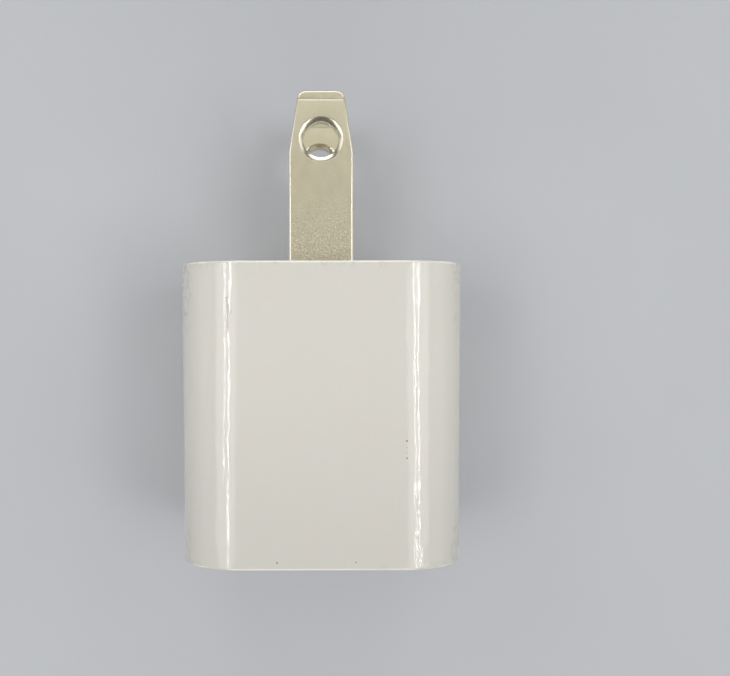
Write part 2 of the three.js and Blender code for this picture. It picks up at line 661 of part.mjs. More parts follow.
const ON_PRIMARY = { face: PRIMARY.outer, away: 1 };
const UNDER_SECONDARY = { face: SECONDARY.outer, away: -1 };

const SURFACE_PARTS = {
  bridge_rectifier: {
    ...ON_PRIMARY, y: -9.6, z: 0, length: 4.4, width: 4.2, height: 1.4,
    feet: [-1.3, 1.3], footWidth: 0.7, footReach: 0.9,
  },
  switching_transistor: {
    ...ON_PRIMARY, y: -18.4, z: 5.2, length: 6.0, width: 3.5, height: 1.6,
    feet: [-2.0, 0, 2.0], footWidth: 0.8, footReach: 1.1,
  },
  controller_chip: {
    ...ON_PRIMARY, y: -18.4, z: -4.6, length: 4.9, width: 3.9, height: 1.45,
    feet: [-1.905, -0.635, 0.635, 1.905], footWidth: 0.42, footReach: 0.9,
  },
  snubber_diode: {
    ...ON_PRIMARY, y: -23.9, z: 5.4, length: 2.6, width: 4.2, height: 1.5,
    feet: [0], footWidth: 1.4, footReach: 0.4,
  },
  snubber_resistor: {
    ...ON_PRIMARY, y: -23.9, z: 0.4, length: 1.6, width: 2.8, height: 0.6,
    feet: [0], footWidth: 1.6, footReach: 0.05,
  },
  snubber_capacitor: {
    ...ON_PRIMARY, y: -23.9, z: -4.6, length: 1.6, width: 2.8, height: 1.0,
    feet: [0], footWidth: 1.6, footReach: 0.05,
  },
  optocoupler: {
    face: PRIMARY.inner, away: -1, y: -19.4, z: 8.2, length: 4.0, width: 1.7, height: 2.1,
    feet: [-1.27, 1.27], footWidth: 0.45, footReach: 0.4,
  },
  output_rectifier: {
    ...UNDER_SECONDARY, y: -9.0, z: -5.2, length: 3.6, width: 4.6, height: 2.3,
    feet: [0], footWidth: 2.0, footReach: 0.5,
  },
  output_inductor: {
    ...UNDER_SECONDARY, y: -10.6, z: 4.2, length: 6.0, width: 6.0, height: 4.0,
    feet: [0], footWidth: 3.0, footReach: 0.3,
  },
  voltage_reference: {
    ...UNDER_SECONDARY, y: -9.0, z: -0.9, length: 2.9, width: 1.3, height: 1.1,
    feet: [-0.95, 0.95], footWidth: 0.4, footReach: 0.5,
  },
};

const DATA_RESISTOR = { y: -17.2, pitch: 2.2, length: 0.8, width: 1.3, height: 0.45 };

function dataResistor(index) {
  return surfacePart({
    ...UNDER_SECONDARY, y: DATA_RESISTOR.y, z: (index - 1.5) * DATA_RESISTOR.pitch,
    length: DATA_RESISTOR.length, width: DATA_RESISTOR.width, height: DATA_RESISTOR.height,
    feet: [0], footWidth: DATA_RESISTOR.length, footReach: 0.05,
  });
}

// A folded insulating film over the socket, between it and the mains side, drawn in (z, x).
function insulationFilm() {
  const { thickness, halfWidth, top, bottom, rear, front } = FILM;
  const edge = halfWidth - thickness / 2;
  const crown = top - thickness / 2;
  const middle = [[-edge, bottom], [-edge, crown], [edge, crown], [edge, bottom]];
  return prism('y', sheetOutline(middle.reverse(), thickness), rear, front);
}

// ---- Assembly ----

const COLOURS = {
  white: [0xd9d6cd, 0.22, 0.0],
  nickel: [0xc8bea5, 0.38, 1.0],
  black: [0x1d1d1f, 0.55, 0.0],
  bronze: [0xb98a4e, 0.35, 1.0],
  steel: [0xbfc1c4, 0.28, 1.0],
  gold: [0xd9b45b, 0.25, 1.0],
  green: [0x1f5b3c, 0.5, 0.0],
  chip: [0x232326, 0.45, 0.0],
  resistorBlue: [0x5f8fb0, 0.5, 0.0],
  ferrite: [0x3a3a3d, 0.7, 0.0],
  copper: [0xa85f2c, 0.35, 1.0],
  tape: [0xd8b23a, 0.4, 0.0],
  can: [0x1c2238, 0.35, 0.0],
  discBlue: [0x2a63a8, 0.4, 0.0],
  ceramic: [0xa98c66, 0.5, 0.0],
  film: [0xe6d9a8, 0.3, 0.0],
};

const charger = new THREE.Group();

function addPiece(name, solid, colourName) {
  const [color, roughness, metalness] = COLOURS[colourName];
  const material = new THREE.MeshStandardMaterial({ color, roughness, metalness });
  const mesh = new THREE.Mesh(toGeometry(solid), material);
  mesh.name = name;
  charger.add(mesh);
}

addPiece('outer_shell', outerShell(), 'white');
addPiece('prong_cap', prongCap(), 'white');
addPiece('blade_carrier', bladeCarrier(), 'black');
['live', 'neutral'].forEach((line, index) => {
  addPiece(`blade_${line}`, blade(bladePlaces[index]), 'nickel');
  addPiece(`${line}_contact_strip`, contactStrip(bladePlaces[index]), 'bronze');
});

addPiece('primary_board', primaryBoard(), 'green');
addPiece('secondary_board', secondaryBoard(), 'green');
addPiece('insulation_film', insulationFilm(), 'film');

addPiece('fusible_resistor', fusibleResistor(), 'resistorBlue');
addPiece('filter_inductor', filterInductor(), 'ferrite');
addPiece('safety_capacitor', safetyCapacitor(), 'discBlue');
bothSides.forEach((side, index) => {
  addPiece(`input_capacitor_${index + 1}`, inputCapacitor(side), 'can');
  addPiece(`output_capacitor_${index + 1}`, outputCapacitor(side), 'can');
});

addPiece('transformer_core_upper', transformerCore(1), 'ferrite');
addPiece('transformer_core_lower', transformerCore(-1), 'ferrite');
addPiece('transformer_bobbin', transformerBobbin(), 'black');
addPiece('transformer_primary_winding', transformerWinding(WINDING.gap, WINDING.primary), 'copper');
addPiece(
  'transformer_secondary_winding',
  transformerWinding(WINDING.gap * 2 + WINDING.primary, WINDING.secondary),
  'tape',
);
bothSides.forEach((side, index) => {
  const z = side * TRANSFORMER_PIN.z;
  addPiece(`transformer_primary_pin_${index + 1}`, transformerPin(TRANSFORMER_PIN.farY, z, 1), 'steel');
  addPiece(`transformer_auxiliary_pin_${index + 1}`, transformerPin(TRANSFORMER_PIN.nearY, z, 1), 'steel');
  addPiece(`transformer_output_pin_${index + 1}`, transformerPin(TRANSFORMER_PIN.nearY, z, -1), 'steel');
});

Object.entries(SURFACE_PARTS).forEach(([name, part]) => {
  addPiece(name, surfacePart(part), name === 'snubber_capacitor' ? 'ceramic' : 'chip');
});

addPiece('usb_shell', usbShell(), 'steel');
addPiece('usb_tongue', usbTongue(), 'white');
CONTACT.offsets.forEach((z, index) => {
  addPiece(`usb_contact_${index + 1}`, usbContact(z), 'gold');
  addPiece(`usb_contact_tail_${index + 1}`, usbContactTail(z), 'gold');
  addPiece(`data_resistor_${index + 1}`, dataResistor(index), 'chip');
});
bothSides.forEach((xSide, row) => bothSides.forEach((zSide, column) => {
  addPiece(`usb_latch_spring_${row * 2 + column + 1}`, usbLatchSpring(xSide, zSide * LATCH.z), 'steel');
}));

export default charger;
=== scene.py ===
import json
import math

import bmesh
import bpy
from mathutils import Matrix, Vector


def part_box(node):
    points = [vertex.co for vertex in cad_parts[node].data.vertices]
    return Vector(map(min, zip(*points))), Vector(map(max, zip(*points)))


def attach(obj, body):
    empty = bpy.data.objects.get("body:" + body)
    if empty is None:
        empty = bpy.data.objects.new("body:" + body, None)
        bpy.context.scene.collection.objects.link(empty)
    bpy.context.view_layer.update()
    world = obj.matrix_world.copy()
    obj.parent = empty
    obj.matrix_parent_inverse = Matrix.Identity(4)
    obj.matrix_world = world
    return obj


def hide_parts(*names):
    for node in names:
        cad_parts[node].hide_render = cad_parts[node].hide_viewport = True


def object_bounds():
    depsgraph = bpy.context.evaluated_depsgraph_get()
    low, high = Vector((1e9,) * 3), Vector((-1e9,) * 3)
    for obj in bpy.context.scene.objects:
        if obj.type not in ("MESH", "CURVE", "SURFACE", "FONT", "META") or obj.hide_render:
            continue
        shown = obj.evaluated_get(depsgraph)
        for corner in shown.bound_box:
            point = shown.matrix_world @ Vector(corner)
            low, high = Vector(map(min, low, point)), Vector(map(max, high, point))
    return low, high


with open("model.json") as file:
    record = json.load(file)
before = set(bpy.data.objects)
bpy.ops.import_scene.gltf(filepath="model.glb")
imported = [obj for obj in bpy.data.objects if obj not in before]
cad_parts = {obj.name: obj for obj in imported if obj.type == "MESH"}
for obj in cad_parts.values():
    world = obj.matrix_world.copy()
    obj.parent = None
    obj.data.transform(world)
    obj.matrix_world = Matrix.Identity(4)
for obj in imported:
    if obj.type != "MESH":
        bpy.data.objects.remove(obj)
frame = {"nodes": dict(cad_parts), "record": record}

# A glossy cube-shaped wall charger lying on one side, seen from above. Metres, in the CAD frame:
# +Y runs along the blades, +Z is up towards the camera, and the origin is the middle of the prong face.

cad_low, cad_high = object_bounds()
MM = 0.001

# ---- Sizes, taken from the frame ----

shell_low, shell_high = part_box("outer_shell")
cap_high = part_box("prong_cap")[1]
blade_low, blade_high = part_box("blade_live")
socket_low, socket_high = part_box("usb_shell")
tongue_low, tongue_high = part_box("usb_tongue")

BODY_HALF = shell_high.x
BODY_REAR = shell_low.y
BODY_CORNER = 6.0 * MM
CORNER_EXPONENT = 2.13
BODY_EDGE = 0.22 * MM
WALL = 1.6 * MM
SEAT_INSET = 1.0 * MM
SEAT_DEPTH = 1.8 * MM
RIM_ROUND = 0.12 * MM
CAP_HALF = cap_high.x
CAP_THICKNESS = 1.7 * MM
CAP_EDGE = 0.16 * MM

BLADE_HALF = blade_high.x
BLADE_HALF_THICKNESS = (blade_high.z - blade_low.z) / 2
BLADE_TIP = blade_high.y
BLADE_MIDDLE = (blade_high.z + blade_low.z) / 2
BLADE_EDGE = 0.22 * MM
TAPER_LENGTH = 6.25 * MM
SHOULDER_BEND = 3 * MM
TIP_HALF = 2.3 * MM
TIP_CORNER = 0.9 * MM
TIP_BEVEL = 1.0 * MM
TIP_HALF_THICKNESS = 0.4 * MM
HOLE_FROM_TIP = 4.79 * MM
HOLE_RADIUS = 1.72 * MM
HOLE_CHAMFER = 0.43 * MM
CHAMFER_DEPTH = 0.2 * MM
HOLE_EDGE = 0.035 * MM
ROOT_DEPTH = 3.5 * MM
TAIL_DEPTH = 4.5 * MM
TAIL_HALF = 1.6 * MM
SLOT_GAP = 0.08 * MM
SLOT_FLARE = 0.08 * MM
SLOT_CORNER = 0.15 * MM

# How far a cutting tool reaches past what it cuts.
CLEAR = 1 * MM

PORT_HALF_X = 2.56 * MM
PORT_HALF_Z = 6.25 * MM
SHEET = 0.31 * MM
PORT_CORNER = 0.6 * MM
OPENING_GAP = 0.14 * MM
PORT_LIP = 0.22 * MM
SOCKET_FRONT = socket_low.y
SOCKET_REAR = socket_high.y
SOCKET_EDGE = 0.04 * MM
LEG_FRONT = -20.95 * MM
LEG_REAR = -19.45 * MM
LEG_END = socket_low.x
WINDOW_FRONT = -26.0 * MM
WINDOW_REAR = -20.0 * MM
WINDOW_HALF_Z = 1.6 * MM

# The tongue is the part in front of the wall that closes the socket's rear.
TONGUE_LOW_X = 0.06 * MM
TONGUE_HIGH_X = 1.86 * MM
TONGUE_HALF_Z = 5.55 * MM
TONGUE_FRONT = tongue_low.y
TONGUE_CORNER = 0.14 * MM
TONGUE_EDGE = 0.05 * MM
WALL_FRONT = -16.0 * MM
WALL_REAR = tongue_high.y
WALL_GAP = 0.1 * MM

# Each contact lies in a groove in the tongue and goes back through a passage in the wall.
GROOVE_FRONT = -24.2 * MM
GROOVE_DEPTH_X = 1.35 * MM
GROOVE_HALF_Z = 0.7 * MM
PASSAGE_X = (0.25 * MM, 0.85 * MM)
PASSAGE_REAR = -14.0 * MM
PASSAGE_HALF_Z = 0.55 * MM

# The springs, as middle lines of (x, y) in millimetres from the root to the free end.
CONTACT_PLACES_Z = (-3.5 * MM, -1.0 * MM, 1.0 * MM, 3.5 * MM)
CONTACT_THICKNESS = 0.22 * MM
CONTACT_WIDTH = 1.0 * MM
CONTACT_LINE = (
    (0.55, -16.5), (0.5, -18.5), (0.15, -20.2), (-0.23, -21.6),
    (-0.35, -22.3), (-0.17, -23.0), (0.45, -23.8),
)
LATCH_Z = 3.2 * MM
LATCH_THICKNESS = 0.25 * MM
LATCH_WIDTH = 2.4 * MM
LATCH_LINE = (
    (2.715, -25.9), (2.675, -25.1), (2.395, -23.6), (2.205, -22.9),
    (2.185, -22.5), (2.225, -22.0), (2.395, -20.6),
)

INNER_EDGE = 0.04 * MM

CORNER_STEPS = 28
EDGE_STEPS = 7
LIP_STEPS = 8


# ---- Mesh helpers ----

def new_piece(name, bm, body="charger", slot=None, replaces=()):
    """A finished mesh that rides on a CAD body and may stand for CAD nodes."""
    bmesh.ops.recalc_face_normals(bm, faces=bm.faces)
    mesh = bpy.data.meshes.new(name)
    bm.to_mesh(mesh)
    bm.free()
    piece = bpy.data.objects.new(name, mesh)
    bpy.context.scene.collection.objects.link(piece)
    if body is not None:
        finish_piece(piece, body, slot, replaces)
    return piece


def finish_piece(piece, body, slot, replaces):
    """Tells the frame where a piece belongs, and gives it its material."""
    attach(piece, body)
    if slot is not None:
        paint(piece, slot)
    if replaces:
        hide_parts(*replaces)


def paint(piece, slot):
    piece.data.materials.clear()
    piece.data.materials.append(MATERIALS[slot])


def smooth(piece, angle=30.0):
    """Smooth shading with crisp creases, and flats that stay flat right up to a rounded edge."""
    mesh = piece.data
    mesh.polygons.foreach_set("use_smooth", [True] * len(mesh.polygons))
    mesh.set_sharp_from_angle(angle=math.radians(angle))
    weighted = piece.modifiers.new("weighted", "WEIGHTED_NORMAL")
    weighted.keep_sharp = True
    weighted.weight = 100


def apply_modifiers(piece):
    """Turns the piece's modifiers into its mesh."""
    graph = bpy.context.evaluated_depsgraph_get()
    made = bpy.data.meshes.new_from_object(piece.evaluated_get(graph))
    piece.modifiers.clear()
    piece.data = made


def boolean(piece, tools, operation="DIFFERENCE"):
    """Cuts the tools from the piece, or joins them to it, and removes them."""
    for tool in tools:
        modifier = piece.modifiers.new("boolean", "BOOLEAN")
        modifier.object = tool
        modifier.operation = operation
        modifier.solver = "EXACT"
    bpy.context.view_layer.update()
    apply_modifiers(piece)
    for tool in tools:
        bpy.data.objects.remove(tool)


def round_edges(piece, width, segments=2, angle=30.0, clamp=True):
    """Rounds the edges whose faces meet at more than `angle` degrees."""
    modifier = piece.modifiers.new("edges", "BEVEL")
    modifier.width = width
    modifier.segments = segments
    modifier.limit_method = "ANGLE"
    modifier.angle_limit = math.radians(angle)
    modifier.use_clamp_overlap = clamp
    modifier.miter_outer = "MITER_ARC"
    apply_modifiers(piece)


def loft(loops, closed=False):
    """Joins loops with the same number of points. A closed loft returns to its first loop."""
    bm = bmesh.new()
    rows = [[bm.verts.new(point) for point in loop] for loop in loops]
    pairs = list(zip(rows, rows[1:]))
    if closed:
        pairs.append((rows[-1], rows[0]))
    for one, other in pairs:
        for index, vert in enumerate(one):
            following = (index + 1) % len(one)
            bm.faces.new((vert, one[following], other[following], other[index]))
    if not closed:
        bm.faces.new(rows[0])
        bm.faces.new(rows[-1])
    return bm


def rounded_loop(half_x, half_z, radius, y, steps=CORNER_STEPS, exponent=2.0, centre=(0.0, 0.0)):
    """A rounded rectangle that faces along Y. Every loop with the same steps matches point by point."""
    quarters = ((1, 1, False), (-1, 1, True), (-1, -1, False), (1, -1, True))
    loop = []
    for side_x, side_z, backwards in quarters:
        for step in range(steps + 1):
            share = (steps - step if backwards else step) / steps
            angle = math.pi / 2 * share
            across = half_x - radius + radius * max(math.cos(angle), 0.0) ** (2 / exponent)
            up = half_z - radius + radius * max(math.sin(angle), 0.0) ** (2 / exponent)
            loop.append(Vector((centre[0] + side_x * across, y, centre[1] + side_z * up)))
    return loop


def body_loop(inset, y):
    """The casing's outline at y, `inset` inside its skin."""
    half = BODY_HALF - inset
    return rounded_loop(half, half, BODY_CORNER - inset, y, exponent=CORNER_EXPONENT)


def port_loop(grow, y):
    """The outline of the socket's opening in the casing at y, widened by `grow`."""
    half_x = PORT_HALF_X + SHEET + OPENING_GAP + grow
    half_z = PORT_HALF_Z + SHEET + OPENING_GAP + grow
    return rounded_loop(half_x, half_z, PORT_CORNER + OPENING_GAP + grow, y)


def quarter_turns(steps=EDGE_STEPS):
    """(sine, cosine) over a quarter turn, both ends included."""
    angles = [math.pi / 2 * step / steps for step in range(steps + 1)]
    return [(math.sin(angle), math.cos(angle)) for angle in angles]


def block(low, high):
    """A box between two corners, as a cutting tool."""
    bm = bmesh.new()
    bmesh.ops.create_cube(bm, size=1.0)
    size = Vector(high) - Vector(low)
    middle = (Vector(high) + Vector(low)) / 2
    stretched = Matrix.Translation(middle) @ Matrix.Diagonal((*size, 1))
    bmesh.ops.transform(bm, matrix=stretched, verts=bm.verts)
    return new_piece("tool", bm, body=None)


def turned(profile, centre, steps=64):
    """A solid turned about Z through centre. The profile lists (radius, z) and ends on the axis."""
    bm = bmesh.new()
    rings = []
    for radius, height in profile:
        if radius == 0:
            rings.append([bm.verts.new(Vector(centre) + Vector((0, 0, height)))])
            continue
        ring = []
        for step in range(steps):
            angle = 2 * math.pi * step / steps
            offset = Vector((radius * math.cos(angle), radius * math.sin(angle), height))
            ring.append(bm.verts.new(Vector(centre) + offset))
        rings.append(ring)
    for one, other in zip(rings, rings[1:]):
        for step in range(steps):
            after = (step + 1) % steps
            corners = [
                one[step % len(one)], one[after % len(one)],
                other[after % len(other)], other[step % len(other)],
            ]
            bm.faces.new(list(dict.fromkeys(corners)))
    return bm


# ---- Node helpers ----

class Tree:
    """A material's node tree, with the few node kinds that the looks below need."""

    def __init__(self, name):
        self.material = bpy.data.materials.new(name)
        self.material.use_nodes = True
        self.tree = self.material.node_tree
        self.tree.nodes.clear()
        output = self.node("ShaderNodeOutputMaterial")
        self.shader = self.node("ShaderNodeBsdfPrincipled")
        self.link(self.shader.outputs["BSDF"], output.inputs["Surface"])
        coordinates = self.node("ShaderNodeTexCoord")
        scaled = self.node("ShaderNodeVectorMath", operation="SCALE")
        self.link(coordinates.outputs["Object"], scaled.inputs[0])
        scaled.inputs["Scale"].default_value = 1 / MM
        self.place = scaled.outputs[0]

    def node(self, kind, **settings):
        made = self.tree.nodes.new(kind)
        for key, value in settings.items():
            setattr(made, key, value)
        return made

    def link(self, source, target):
        self.tree.links.new(source, target)

    def feed(self, target, value):
        if isinstance(value, bpy.types.NodeSocket):
            self.link(value, target)
        else:
            target.default_value = value

    def math(self, operation, one, other=0.0, clamp=False):
        made = self.node("ShaderNodeMath", operation=operation, use_clamp=clamp)
        self.feed(made.inputs[0], one)
        self.feed(made.inputs[1], other)
        return made.outputs[0]

    def plus(self, one, other, clamp=False):
        return self.math("ADD", one, other, clamp)

    def minus(self, one, other):
        return self.math("SUBTRACT", one, other)

    def times(self, one, other):
        return self.math("MULTIPLY", one, other)

    def larger(self, one, other):
        return self.math("MAXIMUM", one, other)

    def absolute(self, value):
        return self.math("ABSOLUTE", value)

    def length(self, one, other):
        """The length of a flat vector from its two parts."""
        return self.math("SQRT", self.plus(self.times(one, one), self.times(other, other)))

    def axis(self, name):
        """The X, Y or Z of the shaded point, in millimetres of the CAD frame."""
        split = self.node("ShaderNodeSeparateXYZ")
        self.link(self.place, split.inputs[0])
        return split.outputs[name]

    def ramp(self, value, low, high, to_low=0.0, to_high=1.0, kind="SMOOTHSTEP"):
        """A step from to_low at low to to_high at high, eased at both ends or LINEAR."""
        made = self.node("ShaderNodeMapRange", interpolation_type=kind)
        self.feed(made.inputs["Value"], value)
        made.inputs["From Min"].default_value = low
        made.inputs["From Max"].default_value = high
        made.inputs["To Min"].default_value = to_low
        made.inputs["To Max"].default_value = to_high
        return made.outputs["Result"]

    def noise(self, scale, detail=2.0, stretch=(1.0, 1.0, 1.0), shift=0.0, roughness=0.5):
        """Noise with `scale` features to the millimetre, drawn out along an axis that has a low stretch."""
        mapping = self.node("ShaderNodeMapping")
        self.link(self.place, mapping.inputs["Vector"])
        mapping.inputs["Scale"].default_value = stretch
        mapping.inputs["Location"].default_value = (shift, shift, shift)
        made = self.node("ShaderNodeTexNoise")
        self.link(mapping.outputs[0], made.inputs["Vector"])
        made.inputs["Scale"].default_value = scale
        made.inputs["Detail"].default_value = detail
        made.inputs["Roughness"].default_value = roughness
        return made.outputs["Fac"]

    def mix(self, share, one, other):
        made = self.node("ShaderNodeMix", data_type="RGBA")
        self.feed(made.inputs["Factor"], share)
        self.feed(made.inputs["A"], one)
        self.feed(made.inputs["B"], other)
        return made.outputs["Result"]

    def bump(self, height, distance_mm, normal=None):
        made = self.node("ShaderNodeBump")
        made.inputs["Strength"].default_value = 1.0
        made.inputs["Distance"].default_value = distance_mm * MM
        self.feed(made.inputs["Height"], height)
        if normal is not None:
            self.link(normal, made.inputs["Normal"])
        return made.outputs["Normal"]

    def set(self, **values):
        names = {
            "colour": "Base Color", "roughness": "Roughness", "metallic": "Metallic", "normal": "Normal",
            "ior": "IOR", "subsurface": "Subsurface Weight", "subsurface_scale": "Subsurface Scale",
        }
        for key, value in values.items():
            self.feed(self.shader.inputs[names[key]], value)
        return self.material


def linear(red, green, blue):
    """A display colour from 0 to 255 as the linear colour that shaders use."""
    def channel(value):
        share = value / 255
        return share / 12.92 if share <= 0.04045 else ((share + 0.055) / 1.055) ** 2.4
    return (channel(red), channel(green), channel(blue), 1.0)


def scaled(colour, factor):
    """A lighter or darker version of a colour."""
    return (*(part * factor for part in colour[:3]), 1.0)


# ---- Materials ----

CASING_COLOUR = linear(220, 217, 208)
SCUFF_COLOUR = linear(150, 146, 138)
SPECK_COLOUR = linear(88, 80, 70)
# The colour of the painted highlight along the edges round the body's two ends.
EDGE_HIGHLIGHT_COLOUR = linear(248, 246, 240)
NICKEL_COLOUR = linear(224, 216, 187)
ROOT_COLOUR = linear(180, 173, 152)
# Rubbed plating at the blade rims, lightened further as a painted highlight.
RIM_WEAR_AND_HIGHLIGHT_COLOUR = linear(243, 235, 218)

# Small dark marks on the top side, as (x, y, radius) in millimetres.
SPECKS = (
    (7.81, -16.6, 0.09), (7.82, -17.2, 0.04), (7.79, -17.7, 0.04), (7.83, -18.2, 0.08),
    (-4.23, -27.95, 0.09), (3.11, -27.9, 0.07), (-8.82, -3.4, 0.06), (-8.72, -6.7, 0.06),
)

# Hairline scratches on the two long highlights, as (x, y, lean, half length, half width) in millimetres.
# The lean is how far a scratch moves along X for each millimetre along Y.
SCRATCHES = (
    (-8.70, -4.9, -0.03, 1.6, 0.035), (-8.74, -3.5, 0.30, 0.35, 0.035), (-8.60, -4.4, -0.10, 0.5, 0.035),
    (-8.40, -4.8, 0.30, 0.35, 0.03), (-8.66, -9.0, 0.04, 1.2, 0.025), (8.72, -12.5, -0.03, 1.0, 0.02),
)


def top_side(tree):
    """1 on the flat top side and the upper part of its rounded edges, and 0 below."""
    return tree.ramp(tree.axis("Z"), 9.0, 10.0)


def speck_mask(tree):
    """1 inside each listed speck on the top side, and 0 elsewhere."""
    total = 0.0
    for x, y, radius in SPECKS:
        away = tree.length(tree.minus(tree.axis("X"), x), tree.minus(tree.axis("Y"), y))
        spot = tree.ramp(away, radius * 0.6, radius * 1.3, 1.0, 0.0)
        total = tree.plus(total, spot, clamp=True)
    return tree.times(total, top_side(tree))


def scratch_mask(tree):
    """1 along each listed scratch on the top side, and 0 elsewhere."""
    total = 0.0
    for x, y, lean, half_length, half_width in SCRATCHES:
        along = tree.minus(tree.axis("Y"), y)
        middle = tree.plus(tree.times(along, lean), x)
        across = tree.absolute(tree.minus(tree.axis("X"), middle))
        line = tree.ramp(across, half_width * 0.5, half_width * 1.5, 1.0, 0.0)
        ends = tree.ramp(tree.absolute(along), half_length * 0.7, half_length, 1.0, 0.0)
        total = tree.plus(total, tree.times(line, ends), clamp=True)
    return tree.times(total, top_side(tree))


# |x| + |z| times this share is half the body's width in the middle of a rounded corner.
CORNER_SHARE = 0.57


def edge_closeness(tree, reach):
    """1 at the edges round the body's two ends, fading out within `reach` millimetres."""
    y = tree.axis("Y")
    rear = BODY_REAR / MM
    front_edge = tree.ramp(y, -reach, -0.1 * reach)
    rear_edge = tree.ramp(y, rear + reach, rear + 0.1 * reach)
    across = tree.absolute(tree.axis("X"))
    upright = tree.absolute(tree.axis("Z"))
    corner = tree.times(tree.plus(across, upright), CORNER_SHARE)
    outwards = tree.larger(tree.larger(across, upright), corner)
    side = BODY_HALF / MM
    near_side = tree.ramp(outwards, side - reach, side - 0.2 * reach)
    return tree.times(tree.larger(front_edge, rear_edge), near_side)


def rubbed_sides(tree):
    """1 where the long sides are rubbed: by the prong face, and by the socket end mostly at +X."""
    x, y = tree.axis("X"), tree.axis("Y")
    outermost = tree.ramp(tree.absolute(x), 11.9, 12.9)
    front = tree.times(tree.ramp(y, -9.0, -1.5), tree.ramp(x, -0.1, 0.1, 1.0, 0.8))
    rear = tree.times(tree.ramp(y, -24.0, -27.0), tree.ramp(x, -0.1, 0.1, 0.3, 1.0))
    upper = tree.ramp(tree.axis("Z"), 1.0, 7.0, 0.35, 1.0)
    return tree.times(tree.times(outermost, upper), tree.larger(front, rear))


def sideways(tree):
    """1 on the long sides of the body and 0 on its two ends, from the way the surface faces."""
    coordinates = tree.node("ShaderNodeTexCoord")
    split = tree.node("ShaderNodeSeparateXYZ")
    tree.link(coordinates.outputs["Normal"], split.inputs[0])
    return tree.ramp(tree.absolute(split.outputs["Y"]), 0.2, 0.7, 1.0, 0.06)


def casing_scuffs(tree):
    """Scuffs: fine broken marks in patches on the rubbed sides, and fainter ones along the end edges."""
    fine = tree.noise(2.0, 4.0, stretch=(1.0, 0.7, 0.7), shift=7.0, roughness=0.7)
    patches = tree.noise(0.35, 2.0, shift=11.0)
    edge_wear = tree.times(edge_closeness(tree, 1.0), tree.ramp(patches, 0.42, 0.62, 0.0, 0.25))
    side_wear = tree.times(rubbed_sides(tree), tree.ramp(patches, 0.36, 0.54, 0.35, 1.0))
    return tree.times(tree.larger(edge_wear, side_wear), tree.ramp(fine, 0.47, 0.60))


def casing_hairlines(tree):
    """Hairlines along the body, on its long sides only."""
    fibres = tree.noise(2.6, 3.0, stretch=(1.0, 0.05, 1.0), shift=5.0, roughness=0.6)
    return tree.times(tree.ramp(fibres, 0.56, 0.70), sideways(tree))


def casing_wave(tree):
    """The slow unevenness of the long sides. It frays the +X highlight near the socket end."""
    long_wave = tree.noise(0.5, 1.0, stretch=(1.0, 0.2, 1.0), shift=2.0)
    short_wave = tree.noise(1.4, 2.0, stretch=(1.0, 0.4, 1.0), shift=9.0)
    frayed = tree.times(tree.ramp(tree.axis("Y"), -20.0, -28.0), tree.ramp(tree.axis("X"), 2.0, 6.0))
    share = tree.ramp(frayed, 0.0, 1.0, 0.6, 1.6)
    return tree.times(tree.plus(long_wave, tree.times(short_wave, share)), sideways(tree))


def casing_colour(tree, cloud, scuffs, scratches):
    """Warm white, darkened towards the socket end by painted shade and whitened at the end edges by a
    painted highlight, with its marks on top.
    """
    colour = tree.mix(cloud, scaled(CASING_COLOUR, 0.965), CASING_COLOUR)
    # Painted shade: the colour darkens towards the socket end.
    painted_rearward_shade = tree.ramp(tree.axis("Y"), -6.0, -31.0, 0.0, 0.9)
    colour = tree.mix(painted_rearward_shade, colour, scaled(CASING_COLOUR, 0.87))
    # Painted highlight: the colour whitens along the edges round both ends.
    painted_edge_highlight = tree.times(edge_closeness(tree, 0.25), 0.7)
    colour = tree.mix(painted_edge_highlight, colour, EDGE_HIGHLIGHT_COLOUR)
    colour = tree.mix(tree.times(scuffs, 0.55), colour, SCUFF_COLOUR)
    colour = tree.mix(tree.times(scratches, 0.5), colour, SCUFF_COLOUR)
    return tree.mix(tree.times(speck_mask(tree), 0.75), colour, SPECK_COLOUR)


def casing_material():
    """Warm white gloss plastic: slightly wavy, with hairlines, scuffs, scratches and a few specks."""
    tree = Tree("casing_plastic")
    cloud = tree.noise(0.12, 3.0, shift=3.0)
    scuffs = casing_scuffs(tree)
    scratches = scratch_mask(tree)
    hairlines = casing_hairlines(tree)
    dull = tree.plus(tree.times(scuffs, 0.30), tree.times(hairlines, 0.06))
    dull = tree.plus(dull, tree.times(scratches, 0.35))
    roughness = tree.plus(tree.plus(dull, tree.times(cloud, 0.03)), 0.055)
    normal = tree.bump(casing_wave(tree), 0.024)
    normal = tree.bump(hairlines, 0.0015, normal)
    normal = tree.bump(scuffs, 0.006, normal)
    normal = tree.bump(scratches, -0.01, normal)
    return tree.set(
        colour=casing_colour(tree, cloud, scuffs, scratches), roughness=roughness, normal=normal,
        ior=1.5, subsurface=0.12, subsurface_scale=0.8 * MM,
    )


def blade_rim_wear_and_highlight(tree):
    """1 along a blade's outline and on the crease of its tip, where the plating is rubbed and a painted
    highlight is laid on.
    """
    y = tree.axis("Y")
    tip, half, tip_half = BLADE_TIP / MM, BLADE_HALF / MM, TIP_HALF / MM
    half_width = tree.ramp(y, tip - TAPER_LENGTH / MM, tip, half, tip_half, kind="LINEAR")
    inside = tree.minus(half_width, tree.absolute(tree.axis("X")))
    sides = tree.ramp(inside, 0.12, 0.3, 1.0, 0.0)
    crease = tree.absolute(tree.minus(y, tip - TIP_BEVEL / MM))
    outer = tree.ramp(tree.axis("Z"), -1.0, 1.0, 0.15, 1.0)
    crease_line = tree.times(tree.ramp(crease, 0.04, 0.14, 0.7, 0.0), outer)
    return tree.larger(sides, crease_line)


def hole_rim(tree):
    """1 in and just round the hole through a blade."""
    along = tree.minus(tree.axis("Y"), (BLADE_TIP - HOLE_FROM_TIP) / MM)
    rim = (HOLE_RADIUS + HOLE_CHAMFER) / MM
    return tree.ramp(tree.length(tree.axis("X"), along), rim, rim + 0.1, 1.0, 0.0)


